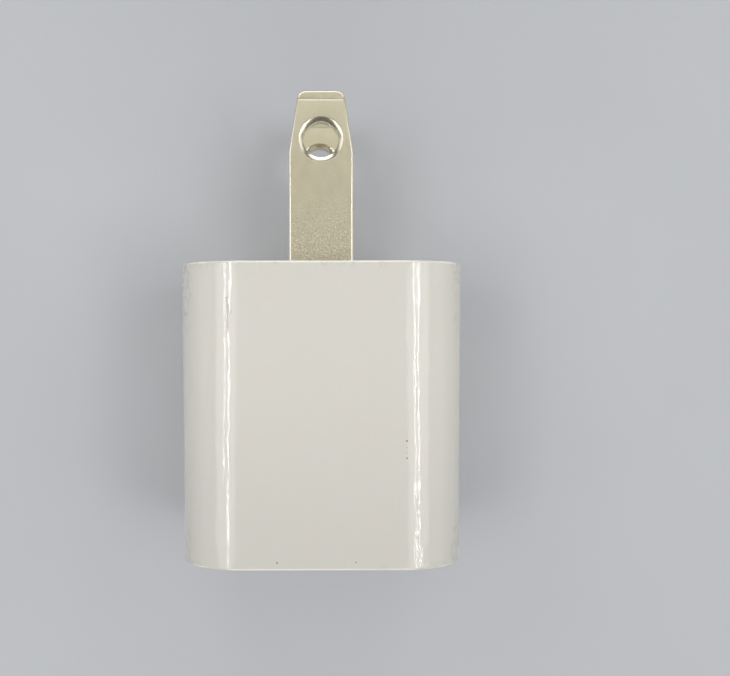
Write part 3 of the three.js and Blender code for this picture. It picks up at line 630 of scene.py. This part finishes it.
def nickel_material():
    """Satin nickel plate: fine speckle that grows towards the root, drawn grain, and rubbed edges lightened
    by a painted highlight.
    """
    tree = Tree("blade_nickel")
    rootward = tree.ramp(tree.axis("Y"), 10.5, 0.5)
    speckle = tree.noise(5.5, 5.0, shift=4.0, roughness=0.75)
    glints = tree.noise(6.5, 3.0, shift=17.0, roughness=0.7)
    mottle = tree.noise(1.1, 3.0, stretch=(1.0, 0.7, 1.0), shift=9.0)
    grain = tree.noise(7.0, 3.0, stretch=(1.0, 0.08, 1.0), shift=1.0)
    hole = hole_rim(tree)
    # Rubbed rims, partly a painted highlight: the outline, tip crease and hole chamfer are lightened in
    # colour and made smoother.
    rim_wear_and_highlight = tree.larger(blade_rim_wear_and_highlight(tree), tree.times(hole, 0.4))
    plain = tree.minus(1.0, hole)
    dark = tree.times(tree.ramp(speckle, 0.38, 0.68), tree.ramp(rootward, 0.1, 1.0, 0.10, 0.75))
    light = tree.times(tree.ramp(glints, 0.54, 0.66), tree.ramp(rootward, 0.1, 0.9, 0.0, 0.7))
    cloudy = tree.mix(mottle, scaled(NICKEL_COLOUR, 0.86), scaled(NICKEL_COLOUR, 0.98))
    toned = tree.mix(tree.times(rootward, 0.55), cloudy, ROOT_COLOUR)
    colour = tree.mix(dark, toned, scaled(ROOT_COLOUR, 0.6))
    colour = tree.mix(light, colour, scaled(NICKEL_COLOUR, 1.1))
    colour = tree.mix(rim_wear_and_highlight, colour, RIM_WEAR_AND_HIGHLIGHT_COLOUR)
    satin = tree.plus(tree.ramp(rootward, 0.0, 1.0, 0.30, 0.38), tree.times(mottle, 0.08))
    roughness = tree.minus(satin, tree.times(rim_wear_and_highlight, 0.10))
    roughness = tree.minus(roughness, tree.times(hole, 0.06))
    normal = tree.bump(tree.times(speckle, plain), 0.006)
    normal = tree.bump(grain, 0.002, normal)
    return tree.set(colour=colour, roughness=roughness, normal=normal, metallic=1.0)


def moulded(name, colour, roughness=0.5, grain=3.0, depth=0.01, spread=0.08):
    """A moulded or coated surface with a fine grain and slight clouding."""
    tree = Tree(name)
    cloud = tree.noise(0.3, 3.0, shift=6.0)
    fine = tree.noise(grain, 3.0, shift=2.0)
    shade = tree.mix(cloud, scaled(colour, 1 - spread), scaled(colour, 1 + spread))
    uneven = tree.plus(tree.times(fine, 0.14), roughness - 0.07)
    return tree.set(colour=shade, roughness=uneven, normal=tree.bump(fine, depth))


def metal(name, colour, roughness=0.3, stretch=(1.0, 1.0, 1.0), grain=6.0, depth=0.002, spread=0.06):
    """A bare or plated metal with drawn grain, tarnish clouds and uneven gloss."""
    tree = Tree(name)
    cloud = tree.noise(0.6, 3.0, shift=8.0)
    fine = tree.noise(grain, 3.0, stretch=stretch, shift=3.0)
    shade = tree.mix(cloud, scaled(colour, 1 - spread), scaled(colour, 1 + spread))
    uneven = tree.plus(tree.times(fine, 0.16), roughness - 0.08)
    return tree.set(colour=shade, roughness=uneven, normal=tree.bump(fine, depth), metallic=1.0)


def banded(name, colour, dark, pitch, metallic, roughness):
    """Turns of wire or tape: bands `pitch` millimetres apart along X, darkened in the grooves between them
    by painted shade.
    """
    tree = Tree(name)
    half_turns = tree.times(tree.axis("X"), math.pi / pitch)
    height = tree.absolute(tree.math("SINE", half_turns))
    cloud = tree.noise(0.5, 2.0, shift=4.0)
    # Painted shade: the colour turns to the dark one in the grooves between turns.
    shade = tree.mix(height, dark, colour)
    shade = tree.mix(tree.times(cloud, 0.25), shade, scaled(colour, 0.8))
    normal = tree.bump(height, pitch * 0.3)
    uneven = tree.plus(tree.times(cloud, 0.12), roughness)
    return tree.set(colour=shade, roughness=uneven, normal=normal, metallic=metallic)


# Radians of the boards' glass weave to the millimetre.
WEAVE_PACE = 9.0


def board_material():
    """Green solder mask over a glass weave, with lighter stretches where copper lies under it."""
    tree = Tree("board_laminate")
    across = tree.math("SINE", tree.times(tree.axis("Y"), WEAVE_PACE))
    along = tree.math("SINE", tree.times(tree.axis("Z"), WEAVE_PACE))
    weave = tree.times(across, along)
    copper = tree.ramp(tree.noise(0.45, 1.0, shift=12.0), 0.50, 0.53)
    shade = tree.mix(copper, linear(20, 78, 50), linear(38, 112, 70))
    shade = tree.mix(tree.ramp(weave, -1.0, 1.0, 0.0, 0.12), shade, linear(60, 130, 90))
    normal = tree.bump(copper, 0.03)
    normal = tree.bump(weave, 0.004, normal)
    return tree.set(colour=shade, roughness=tree.ramp(copper, 0.0, 1.0, 0.42, 0.32), normal=normal)


def build_materials():
    """Every material, by the CAD record's name for its slot."""
    return {
        "casing": casing_material(),
        "blade_plating": nickel_material(),
        "carrier_plastic": moulded("carrier_plastic", linear(34, 34, 36), 0.5, 2.5),
        "strip_bronze": metal("strip_bronze", linear(214, 160, 100), 0.28, (0.1, 1.0, 1.0)),
        "board_laminate": board_material(),
        "insulation_film": moulded("insulation_film", linear(226, 208, 150), 0.2, 0.8, 0.01, 0.04),
        "resistor_coating": moulded("resistor_coating", linear(104, 150, 178), 0.42, 1.6, 0.02),
        "inductor_sleeve": moulded("inductor_sleeve", linear(30, 36, 34), 0.4, 1.2, 0.03),
        "disc_coating": moulded("disc_coating", linear(44, 104, 176), 0.28, 0.9, 0.03),
        "capacitor_sleeve": moulded("capacitor_sleeve", linear(26, 30, 52), 0.22, 0.7, 0.01),
        "core_ferrite": moulded("core_ferrite", linear(54, 54, 58), 0.62, 4.0, 0.02),
        "winding_copper": banded(
            "winding_copper", linear(200, 112, 60), linear(84, 36, 18),
            pitch=0.16, metallic=1.0, roughness=0.26,
        ),
        "winding_tape": banded(
            "winding_tape", linear(226, 188, 62), linear(180, 140, 30),
            pitch=2.2, metallic=0.0, roughness=0.3,
        ),
        "pin_tin": metal("pin_tin", linear(206, 206, 210), 0.3, (0.1, 1.0, 1.0)),
        "chip_moulding": moulded("chip_moulding", linear(38, 38, 42), 0.55, 6.0, 0.012),
        "chip_ceramic": moulded("chip_ceramic", linear(176, 148, 108), 0.5, 5.0, 0.008),
        "port_steel": metal("port_steel", linear(202, 204, 208), 0.26, (1.0, 0.08, 1.0), 5.0),
        "tongue_plastic": moulded("tongue_plastic", linear(222, 222, 218), 0.4, 2.0, 0.008, 0.03),
        "contact_gold": metal("contact_gold", linear(236, 196, 110), 0.2, (1.0, 0.1, 1.0)),
    }


# ---- Casing ----

def make_shell():
    """The one-piece sleeve with its closed socket end, cap seat and rounded port lip."""
    loops = [body_loop(WALL, -SEAT_DEPTH), body_loop(SEAT_INSET, -SEAT_DEPTH)]
    for sine, cosine in quarter_turns(3):
        loops.append(body_loop(SEAT_INSET - RIM_ROUND * (1 - cosine), RIM_ROUND * (sine - 1)))
    for sine, cosine in quarter_turns():
        loops.append(body_loop(BODY_EDGE * (1 - sine), BODY_EDGE * (cosine - 1)))
    for sine, cosine in quarter_turns():
        loops.append(body_loop(BODY_EDGE * (1 - cosine), BODY_REAR + BODY_EDGE * (1 - sine)))
    for sine, cosine in quarter_turns(5):
        loops.append(port_loop(PORT_LIP * (1 - sine), BODY_REAR + PORT_LIP * (1 - cosine)))
    loops.append(port_loop(0.0, BODY_REAR + WALL))
    loops.append(body_loop(WALL, BODY_REAR + WALL))
    shell = new_piece("casing_shell", loft(loops, closed=True), slot="casing", replaces=["outer_shell"])
    smooth(shell)


def slot_tool(z):
    """Cuts one blade's slot in the cap, with a small flare at the face."""
    half_x = BLADE_HALF + SLOT_GAP
    half_z = BLADE_HALF_THICKNESS + SLOT_GAP
    behind = -CAP_THICKNESS - CLEAR
    levels = ((behind, 0.0), (-SLOT_FLARE, 0.0), (0.0, SLOT_FLARE), (CLEAR, SLOT_FLARE + CLEAR))
    loops = [
        rounded_loop(half_x + grow, half_z + grow, SLOT_CORNER + grow, y, steps=4, centre=(0.0, z))
        for y, grow in levels
    ]
    return new_piece("tool", loft(loops), body=None)


def make_cap():
    """The welded-in end plate that the blades stand out of."""
    loops = []
    inset = BODY_HALF - CAP_HALF
    for sine, cosine in quarter_turns(4):
        loops.append(body_loop(inset + CAP_EDGE * (1 - sine), CAP_EDGE * (cosine - 1)))
    loops.append(body_loop(inset, -CAP_THICKNESS))
    cap = new_piece("casing_cap", loft(loops), slot="casing", replaces=["prong_cap"])
    boolean(cap, [slot_tool(BLADE_MIDDLE), slot_tool(-BLADE_MIDDLE)])
    paint(cap, "casing")
    smooth(cap)


# ---- Blades ----

def arc_points(centre, radius, start, end, steps):
    """Points on an arc in the XY plane, from one angle in degrees to another."""
    angles = [math.radians(start + (end - start) * step / steps) for step in range(steps + 1)]
    return [Vector((centre[0] + radius * math.cos(a), centre[1] + radius * math.sin(a))) for a in angles]


def half_blade_outline():
    """The right half of a blade's outline, from the tail up to the tip."""
    slope = math.degrees(math.atan2(BLADE_HALF - TIP_HALF, TAPER_LENGTH))
    shoulder = BLADE_TIP - TAPER_LENGTH
    corner_x = TIP_HALF - TIP_CORNER + TIP_CORNER * math.tan(math.radians(slope) / 2)
    corner = arc_points((corner_x, BLADE_TIP - TIP_CORNER), TIP_CORNER, slope, 90, 10)
    shoulder_bend = arc_points((BLADE_HALF - SHOULDER_BEND, shoulder), SHOULDER_BEND, 0, slope, 4)
    tail = [Vector((TAIL_HALF, -TAIL_DEPTH)), Vector((TAIL_HALF, -ROOT_DEPTH))]
    root = [Vector((BLADE_HALF, -ROOT_DEPTH))]
    return tail + root + shoulder_bend + corner


def tip_tool(z, side):
    """Bevels one wide side of a blade at its tip."""
    face = BLADE_HALF_THICKNESS
    drop = (face - TIP_HALF_THICKNESS) / TIP_BEVEL
    start = BLADE_TIP - TIP_BEVEL
    far = BLADE_TIP + CLEAR
    above = face + CLEAR
    corners = ((start, face), (far, face - drop * (far - start)), (far, above), (start, above))
    beside = BLADE_HALF + CLEAR
    loops = [[Vector((x, y, z + side * up)) for y, up in corners] for x in (-beside, beside)]
    return new_piece("tool", loft(loops), body=None)


def make_blade(name, z):
    """One flat blade: rounded long edges, tapered and bevelled tip, chamfered hole."""
    right = half_blade_outline()
    left = [Vector((-point.x, point.y)) for point in reversed(right)]
    outline = right + left
    half = BLADE_HALF_THICKNESS
    loops = [[Vector((point.x, point.y, z + height)) for point in outline] for height in (-half, half)]
    blade = new_piece(f"nickel_{name}", loft(loops), slot="blade_plating", replaces=[name])
    boolean(blade, [tip_tool(z, 1), tip_tool(z, -1)])
    round_edges(blade, BLADE_EDGE, 5, 50.0, clamp=False)
    mouth = HOLE_RADIUS + 2 * HOLE_CHAMFER
    profile = [
        (0, -half - CHAMFER_DEPTH), (mouth, -half - CHAMFER_DEPTH),
        (HOLE_RADIUS, -half + CHAMFER_DEPTH), (HOLE_RADIUS, half - CHAMFER_DEPTH),
        (mouth, half + CHAMFER_DEPTH), (0, half + CHAMFER_DEPTH),
    ]
    hole = new_piece("tool", turned(profile, (0, BLADE_TIP - HOLE_FROM_TIP, z)), body=None)
    boolean(blade, [hole])
    round_edges(blade, HOLE_EDGE, 2, 24.0)
    paint(blade, "blade_plating")
    smooth(blade, 28.0)


# ---- USB socket ----

def make_socket_shell():
    """The folded steel sleeve: a rolled front lip, four latch windows and two board legs."""
    half_x = PORT_HALF_X + SHEET
    half_z = PORT_HALF_Z + SHEET
    inner_corner = PORT_CORNER - 0.2 * MM
    steps = 8
    roll = SHEET / 2
    loops = [rounded_loop(half_x, half_z, PORT_CORNER, SOCKET_REAR, steps=steps)]
    for step in range(LIP_STEPS + 1):
        angle = math.pi * step / LIP_STEPS
        out = roll * (1 + math.cos(angle))
        y = SOCKET_FRONT + roll * (1 - math.sin(angle))
        corner = inner_corner + (PORT_CORNER - inner_corner) * out / SHEET
        loops.append(rounded_loop(PORT_HALF_X + out, PORT_HALF_Z + out, corner, y, steps=steps))
    loops.append(rounded_loop(PORT_HALF_X, PORT_HALF_Z, inner_corner, SOCKET_REAR, steps=steps))
    shell = new_piece("socket_shell", loft(loops, closed=True), slot="port_steel", replaces=["usb_shell"])
    beside = half_x + CLEAR
    windows = []
    for middle in (-LATCH_Z, LATCH_Z):
        windows.append(block(
            (-beside, WINDOW_FRONT, middle - WINDOW_HALF_Z), (beside, WINDOW_REAR, middle + WINDOW_HALF_Z),
        ))
    boolean(shell, windows)
    legs = []
    for side in (-1, 1):
        wall = sorted((side * PORT_HALF_Z, side * half_z))
        legs.append(block((LEG_END, LEG_FRONT, wall[0]), (0, LEG_REAR, wall[1])))
    boolean(shell, legs, "UNION")
    round_edges(shell, SOCKET_EDGE, 2, 40.0)
    paint(shell, "port_steel")
    smooth(shell, 35.0)


def make_tongue():
    """The white insulator: a grooved tongue with a chamfered tip on a block that closes the rear."""
    half_x = (TONGUE_HIGH_X - TONGUE_LOW_X) / 2
    middle = (TONGUE_HIGH_X + TONGUE_LOW_X) / 2
    levels = (
        (TONGUE_FRONT, 0.32 * MM), (TONGUE_FRONT + 0.12 * MM, 0.16 * MM), (TONGUE_FRONT + 0.45 * MM, 0.0),
        (WALL_FRONT + 0.5 * MM, 0.0),
    )
    loops = [
        rounded_loop(half_x - inset, TONGUE_HALF_Z - inset, TONGUE_CORNER, y, steps=4, centre=(middle, 0.0))
        for y, inset in levels
    ]
    tongue = new_piece("socket_tongue", loft(loops), slot="tongue_plastic", replaces=["usb_tongue"])
    wall_loops = [
        rounded_loop(PORT_HALF_X - WALL_GAP, PORT_HALF_Z - WALL_GAP, PORT_CORNER - 2 * WALL_GAP, y, steps=6)
        for y in (WALL_FRONT, WALL_REAR)
    ]
    boolean(tongue, [new_piece("tool", loft(wall_loops), body=None)], "UNION")
    tools = []
    for z in CONTACT_PLACES_Z:
        tools.append(block(
            (-CLEAR, GROOVE_FRONT, z - GROOVE_HALF_Z), (GROOVE_DEPTH_X, WALL_FRONT, z + GROOVE_HALF_Z),
        ))
        tools.append(block(
            (PASSAGE_X[0], WALL_FRONT - CLEAR / 2, z - PASSAGE_HALF_Z),
            (PASSAGE_X[1], PASSAGE_REAR, z + PASSAGE_HALF_Z),
        ))
    boolean(tongue, tools)
    round_edges(tongue, TONGUE_EDGE, 2, 50.0)
    paint(tongue, "tongue_plastic")
    smooth(tongue, 35.0)


def spline_points(points, steps=6):
    """A smooth Catmull-Rom line through the given (x, y) points."""
    padded = [points[0] * 2 - points[1], *points, points[-1] * 2 - points[-2]]
    line = []
    for index in range(len(points) - 1):
        p0, p1, p2, p3 = padded[index:index + 4]
        for step in range(steps):
            t = step / steps
            line.append(0.5 * (
                2 * p1 + (p2 - p0) * t + (2 * p0 - 5 * p1 + 4 * p2 - p3) * t ** 2
                + (3 * p1 - p0 - 3 * p2 + p3) * t ** 3
            ))
    return [*line, points[-1]]


def ribbon(middle, thickness, width, z, taper=0.0):
    """A bent sheet-metal strip `width` wide along Z, with softened edges. `taper` narrows its free end."""
    line = spline_points([Vector((x * MM, y * MM)) for x, y in middle])
    edge = min(thickness, width) * 0.25
    half = thickness / 2
    loops = []
    for index, point in enumerate(line):
        before = line[max(index - 1, 0)]
        after = line[min(index + 1, len(line) - 1)]
        along = (after - before).normalized()
        across = Vector((-along.y, along.x))
        share = index / (len(line) - 1)
        half_width = width / 2 * (1 - taper * share)
        section = (
            (-half, -half_width + edge), (-half + edge, -half_width), (half - edge, -half_width),
            (half, -half_width + edge), (half, half_width - edge), (half - edge, half_width),
            (-half + edge, half_width), (-half, half_width - edge),
        )
        loops.append([
            Vector((point.x + across.x * out, point.y + across.y * out, z + up)) for out, up in section
        ])
    return loft(loops)


def make_contacts():
    """Four gilt leaf springs, each on its own body."""
    for number, z in enumerate(CONTACT_PLACES_Z, 1):
        body = f"usb_contact_{number}"
        strip = ribbon(CONTACT_LINE, CONTACT_THICKNESS, CONTACT_WIDTH, z, taper=0.25)
        piece = new_piece(f"socket_contact_{number}", strip, body, "contact_gold", [body])
        smooth(piece, 40.0)


def make_latch_springs():
    """Four steel tabs in the sleeve's windows, each on its own body."""
    places = [(x_side, z_side) for x_side in (-1, 1) for z_side in (-1, 1)]
    for number, (x_side, z_side) in enumerate(places, 1):
        body = f"usb_latch_spring_{number}"
        line = [(x_side * x, y) for x, y in LATCH_LINE]
        strip = ribbon(line, LATCH_THICKNESS, LATCH_WIDTH, z_side * LATCH_Z, taper=0.2)
        piece = new_piece(f"socket_latch_{number}", strip, body, "port_steel", [body])
        smooth(piece, 40.0)


# ---- Pieces inside, carried over from the frame ----

def dress_cad_nodes():
    """Gives every CAD node that still shows its own finish and softened edges."""
    slots = {part["node"]: part["material_slot"] for part in frame["record"]["subparts"]}
    for name, node in frame["nodes"].items():
        if node.hide_render:
            continue
        paint(node, slots[name])
        weld = node.modifiers.new("weld", "WELD")
        weld.merge_threshold = 1e-6
        bevel = node.modifiers.new("edges", "BEVEL")
        bevel.width = INNER_EDGE
        bevel.segments = 2
        bevel.limit_method = "ANGLE"
        bevel.angle_limit = math.radians(35)
        weighted = node.modifiers.new("weighted", "WEIGHTED_NORMAL")
        weighted.keep_sharp = True


# ---- Stage ----

# The camera that the photo's outlines were fitted to, in millimetres and degrees.
CAMERA_PLACE = (-1.285, -7.497, 101.323)
CAMERA_TILT = (-3.05, -0.07, -0.12)
CAMERA_LENS = 47.135
CAMERA_SHIFT = (0.0762, 0.0758)
SENSOR = 36.0

FLOOR_REACH = 1.5

# The air round the stage is brighter near the horizon. The heights are on a sphere of radius 1.
AIR_COLOUR = (0.97, 0.98, 1.0, 1.0)
HORIZON_RADIANCE = 0.45
ZENITH_RADIANCE = 0.12
HORIZON_HEIGHT = 0.05
ZENITH_HEIGHT = 0.5

# The overhead lights reach from OVERHEAD_FRONT to OVERHEAD_REAR along Y, and spread apart rearwards by
# OVERHEAD_SPLAY degrees. Distances are in metres from the origin.
OVERHEAD_FRONT = 0.15
OVERHEAD_REAR = -0.35
OVERHEAD_SPLAY = 18.0
OVERHEAD_DISTANCE = 1.0

# Wide overhead lights, as (name, angle from straight up, width in degrees, radiance).
OVERHEADS = (
    ("panel_left", -29.0, 33.0, 1.9),
    ("panel_right", 30.0, 36.0, 1.9),
)

# Narrow bright strips just under them, as (angle from straight up, radiance, rear end).
STRIP_WIDTH = 1.4
STRIP_DISTANCE = 0.95
STRIPS = (
    (-23.0, 17.0, OVERHEAD_REAR),
    (-29.0, 14.0, -0.16),
    (23.4, 15.0, OVERHEAD_REAR),
    (29.9, 16.0, OVERHEAD_REAR),
)

# Soft panels for the blades, the two ends and the long sides,
# as (name, place, turn in degrees, size, radiance).
PANELS = (
    ("over_blades", (0.0, 0.44, 0.95), (-25.0, 0.0, 0.0), (0.5, 0.36), 1.13),
    ("blade_left", (-0.62, 0.42, 0.70), (0.0, -41.0, 0.0), (0.5, 0.5), 1.2),
    ("blade_right", (0.62, 0.42, 0.70), (0.0, 41.0, 0.0), (0.5, 0.5), 1.2),
    ("fill_back", (0.0, 2.1, 0.59), (-74.3, 0.0, 0.0), (2.2, 1.0), 3.2),
    ("fill_front", (0.0, -2.12, 0.6), (74.0, 0.0, 0.0), (2.2, 1.0), 3.0),
    ("side_left", (-2.07, 0.0, 0.75), (0.0, -70.0, 0.0), (1.1, 2.0), 0.35),
    ("side_right", (2.07, 0.0, 0.75), (0.0, 70.0, 0.0), (1.1, 2.0), 0.35),
)


def make_camera():
    data = bpy.data.cameras.new("camera")
    data.sensor_width = SENSOR
    data.lens = CAMERA_LENS
    data.shift_x, data.shift_y = CAMERA_SHIFT
    data.clip_start = 0.001
    data.clip_end = 20.0
    camera = bpy.data.objects.new("camera", data)
    camera.location = [part * MM for part in CAMERA_PLACE]
    camera.rotation_euler = [math.radians(part) for part in CAMERA_TILT]
    bpy.context.scene.collection.objects.link(camera)
    bpy.context.scene.camera = camera


def make_floor():
    """A plain pale table top."""
    bm = bmesh.new()
    bmesh.ops.create_grid(bm, x_segments=2, y_segments=2, size=FLOOR_REACH)
    bmesh.ops.translate(bm, verts=bm.verts, vec=(0, 0, cad_low.z))
    floor = new_piece("floor", bm, body=None)
    tree = Tree("floor")
    cloud = tree.noise(0.02, 3.0)
    colour = tree.mix(cloud, linear(186, 188, 192), linear(194, 196, 199))
    floor.data.materials.append(tree.set(colour=colour, roughness=0.8, ior=1.15))


def make_panel(name, place, turn, size, radiance):
    """A soft rectangular light, turned about X, Y and then Z from facing straight down."""
    data = bpy.data.lights.new(name, "AREA")
    data.shape = "RECTANGLE"
    data.size, data.size_y = size
    data.energy = radiance * math.pi * size[0] * size[1]
    lamp = bpy.data.objects.new(name, data)
    lamp.location = place
    lamp.rotation_euler = [math.radians(angle) for angle in turn]
    lamp.visible_camera = False
    bpy.context.scene.collection.objects.link(lamp)


def make_overhead(name, angle, width, radiance, distance=OVERHEAD_DISTANCE, rear=OVERHEAD_REAR):
    """A light `angle` degrees from straight up, above 0 towards +X, and `width` degrees wide."""
    tilt = math.radians(angle)
    middle = (OVERHEAD_FRONT + rear) / 2
    place = (distance * math.sin(tilt), distance * middle, distance * math.cos(tilt))
    across = 2 * distance * math.tan(math.radians(width) / 2)
    along = distance * (OVERHEAD_FRONT - rear)
    splay = math.copysign(OVERHEAD_SPLAY, angle)
    make_panel(name, place, (0.0, angle, splay), (across, along), radiance)


def make_air():
    """The faint light from all round, which fades from the horizon upwards."""
    world = bpy.data.worlds.new("studio")
    world.use_nodes = True
    nodes, links = world.node_tree.nodes, world.node_tree.links
    background = nodes["Background"]
    background.inputs["Color"].default_value = AIR_COLOUR
    direction = nodes.new("ShaderNodeTexCoord")
    height = nodes.new("ShaderNodeSeparateXYZ")
    fade = nodes.new("ShaderNodeMapRange")
    fade.interpolation_type = "SMOOTHSTEP"
    fade.inputs["From Min"].default_value = HORIZON_HEIGHT
    fade.inputs["From Max"].default_value = ZENITH_HEIGHT
    fade.inputs["To Min"].default_value = HORIZON_RADIANCE
    fade.inputs["To Max"].default_value = ZENITH_RADIANCE
    links.new(direction.outputs["Generated"], height.inputs[0])
    links.new(height.outputs["Z"], fade.inputs["Value"])
    links.new(fade.outputs["Result"], background.inputs["Strength"])
    bpy.context.scene.world = world


def make_lights():
    for number, (angle, radiance, rear) in enumerate(STRIPS, 1):
        make_overhead(f"strip_{number}", angle, STRIP_WIDTH, radiance, STRIP_DISTANCE, rear)
    for name, angle, width, radiance in OVERHEADS:
        make_overhead(name, angle, width, radiance)
    for name, place, turn, size, radiance in PANELS:
        make_panel(name, place, turn, size, radiance)


def set_view():
    bpy.context.scene.view_settings.view_transform = "Standard"
    bpy.context.scene.view_settings.look = "None"


MATERIALS = build_materials()
make_camera()
make_shell()
make_cap()
make_blade("blade_live", BLADE_MIDDLE)
make_blade("blade_neutral", -BLADE_MIDDLE)
make_socket_shell()
make_tongue()
make_contacts()
make_latch_springs()
dress_cad_nodes()
make_floor()
make_air()
make_lights()
set_view()
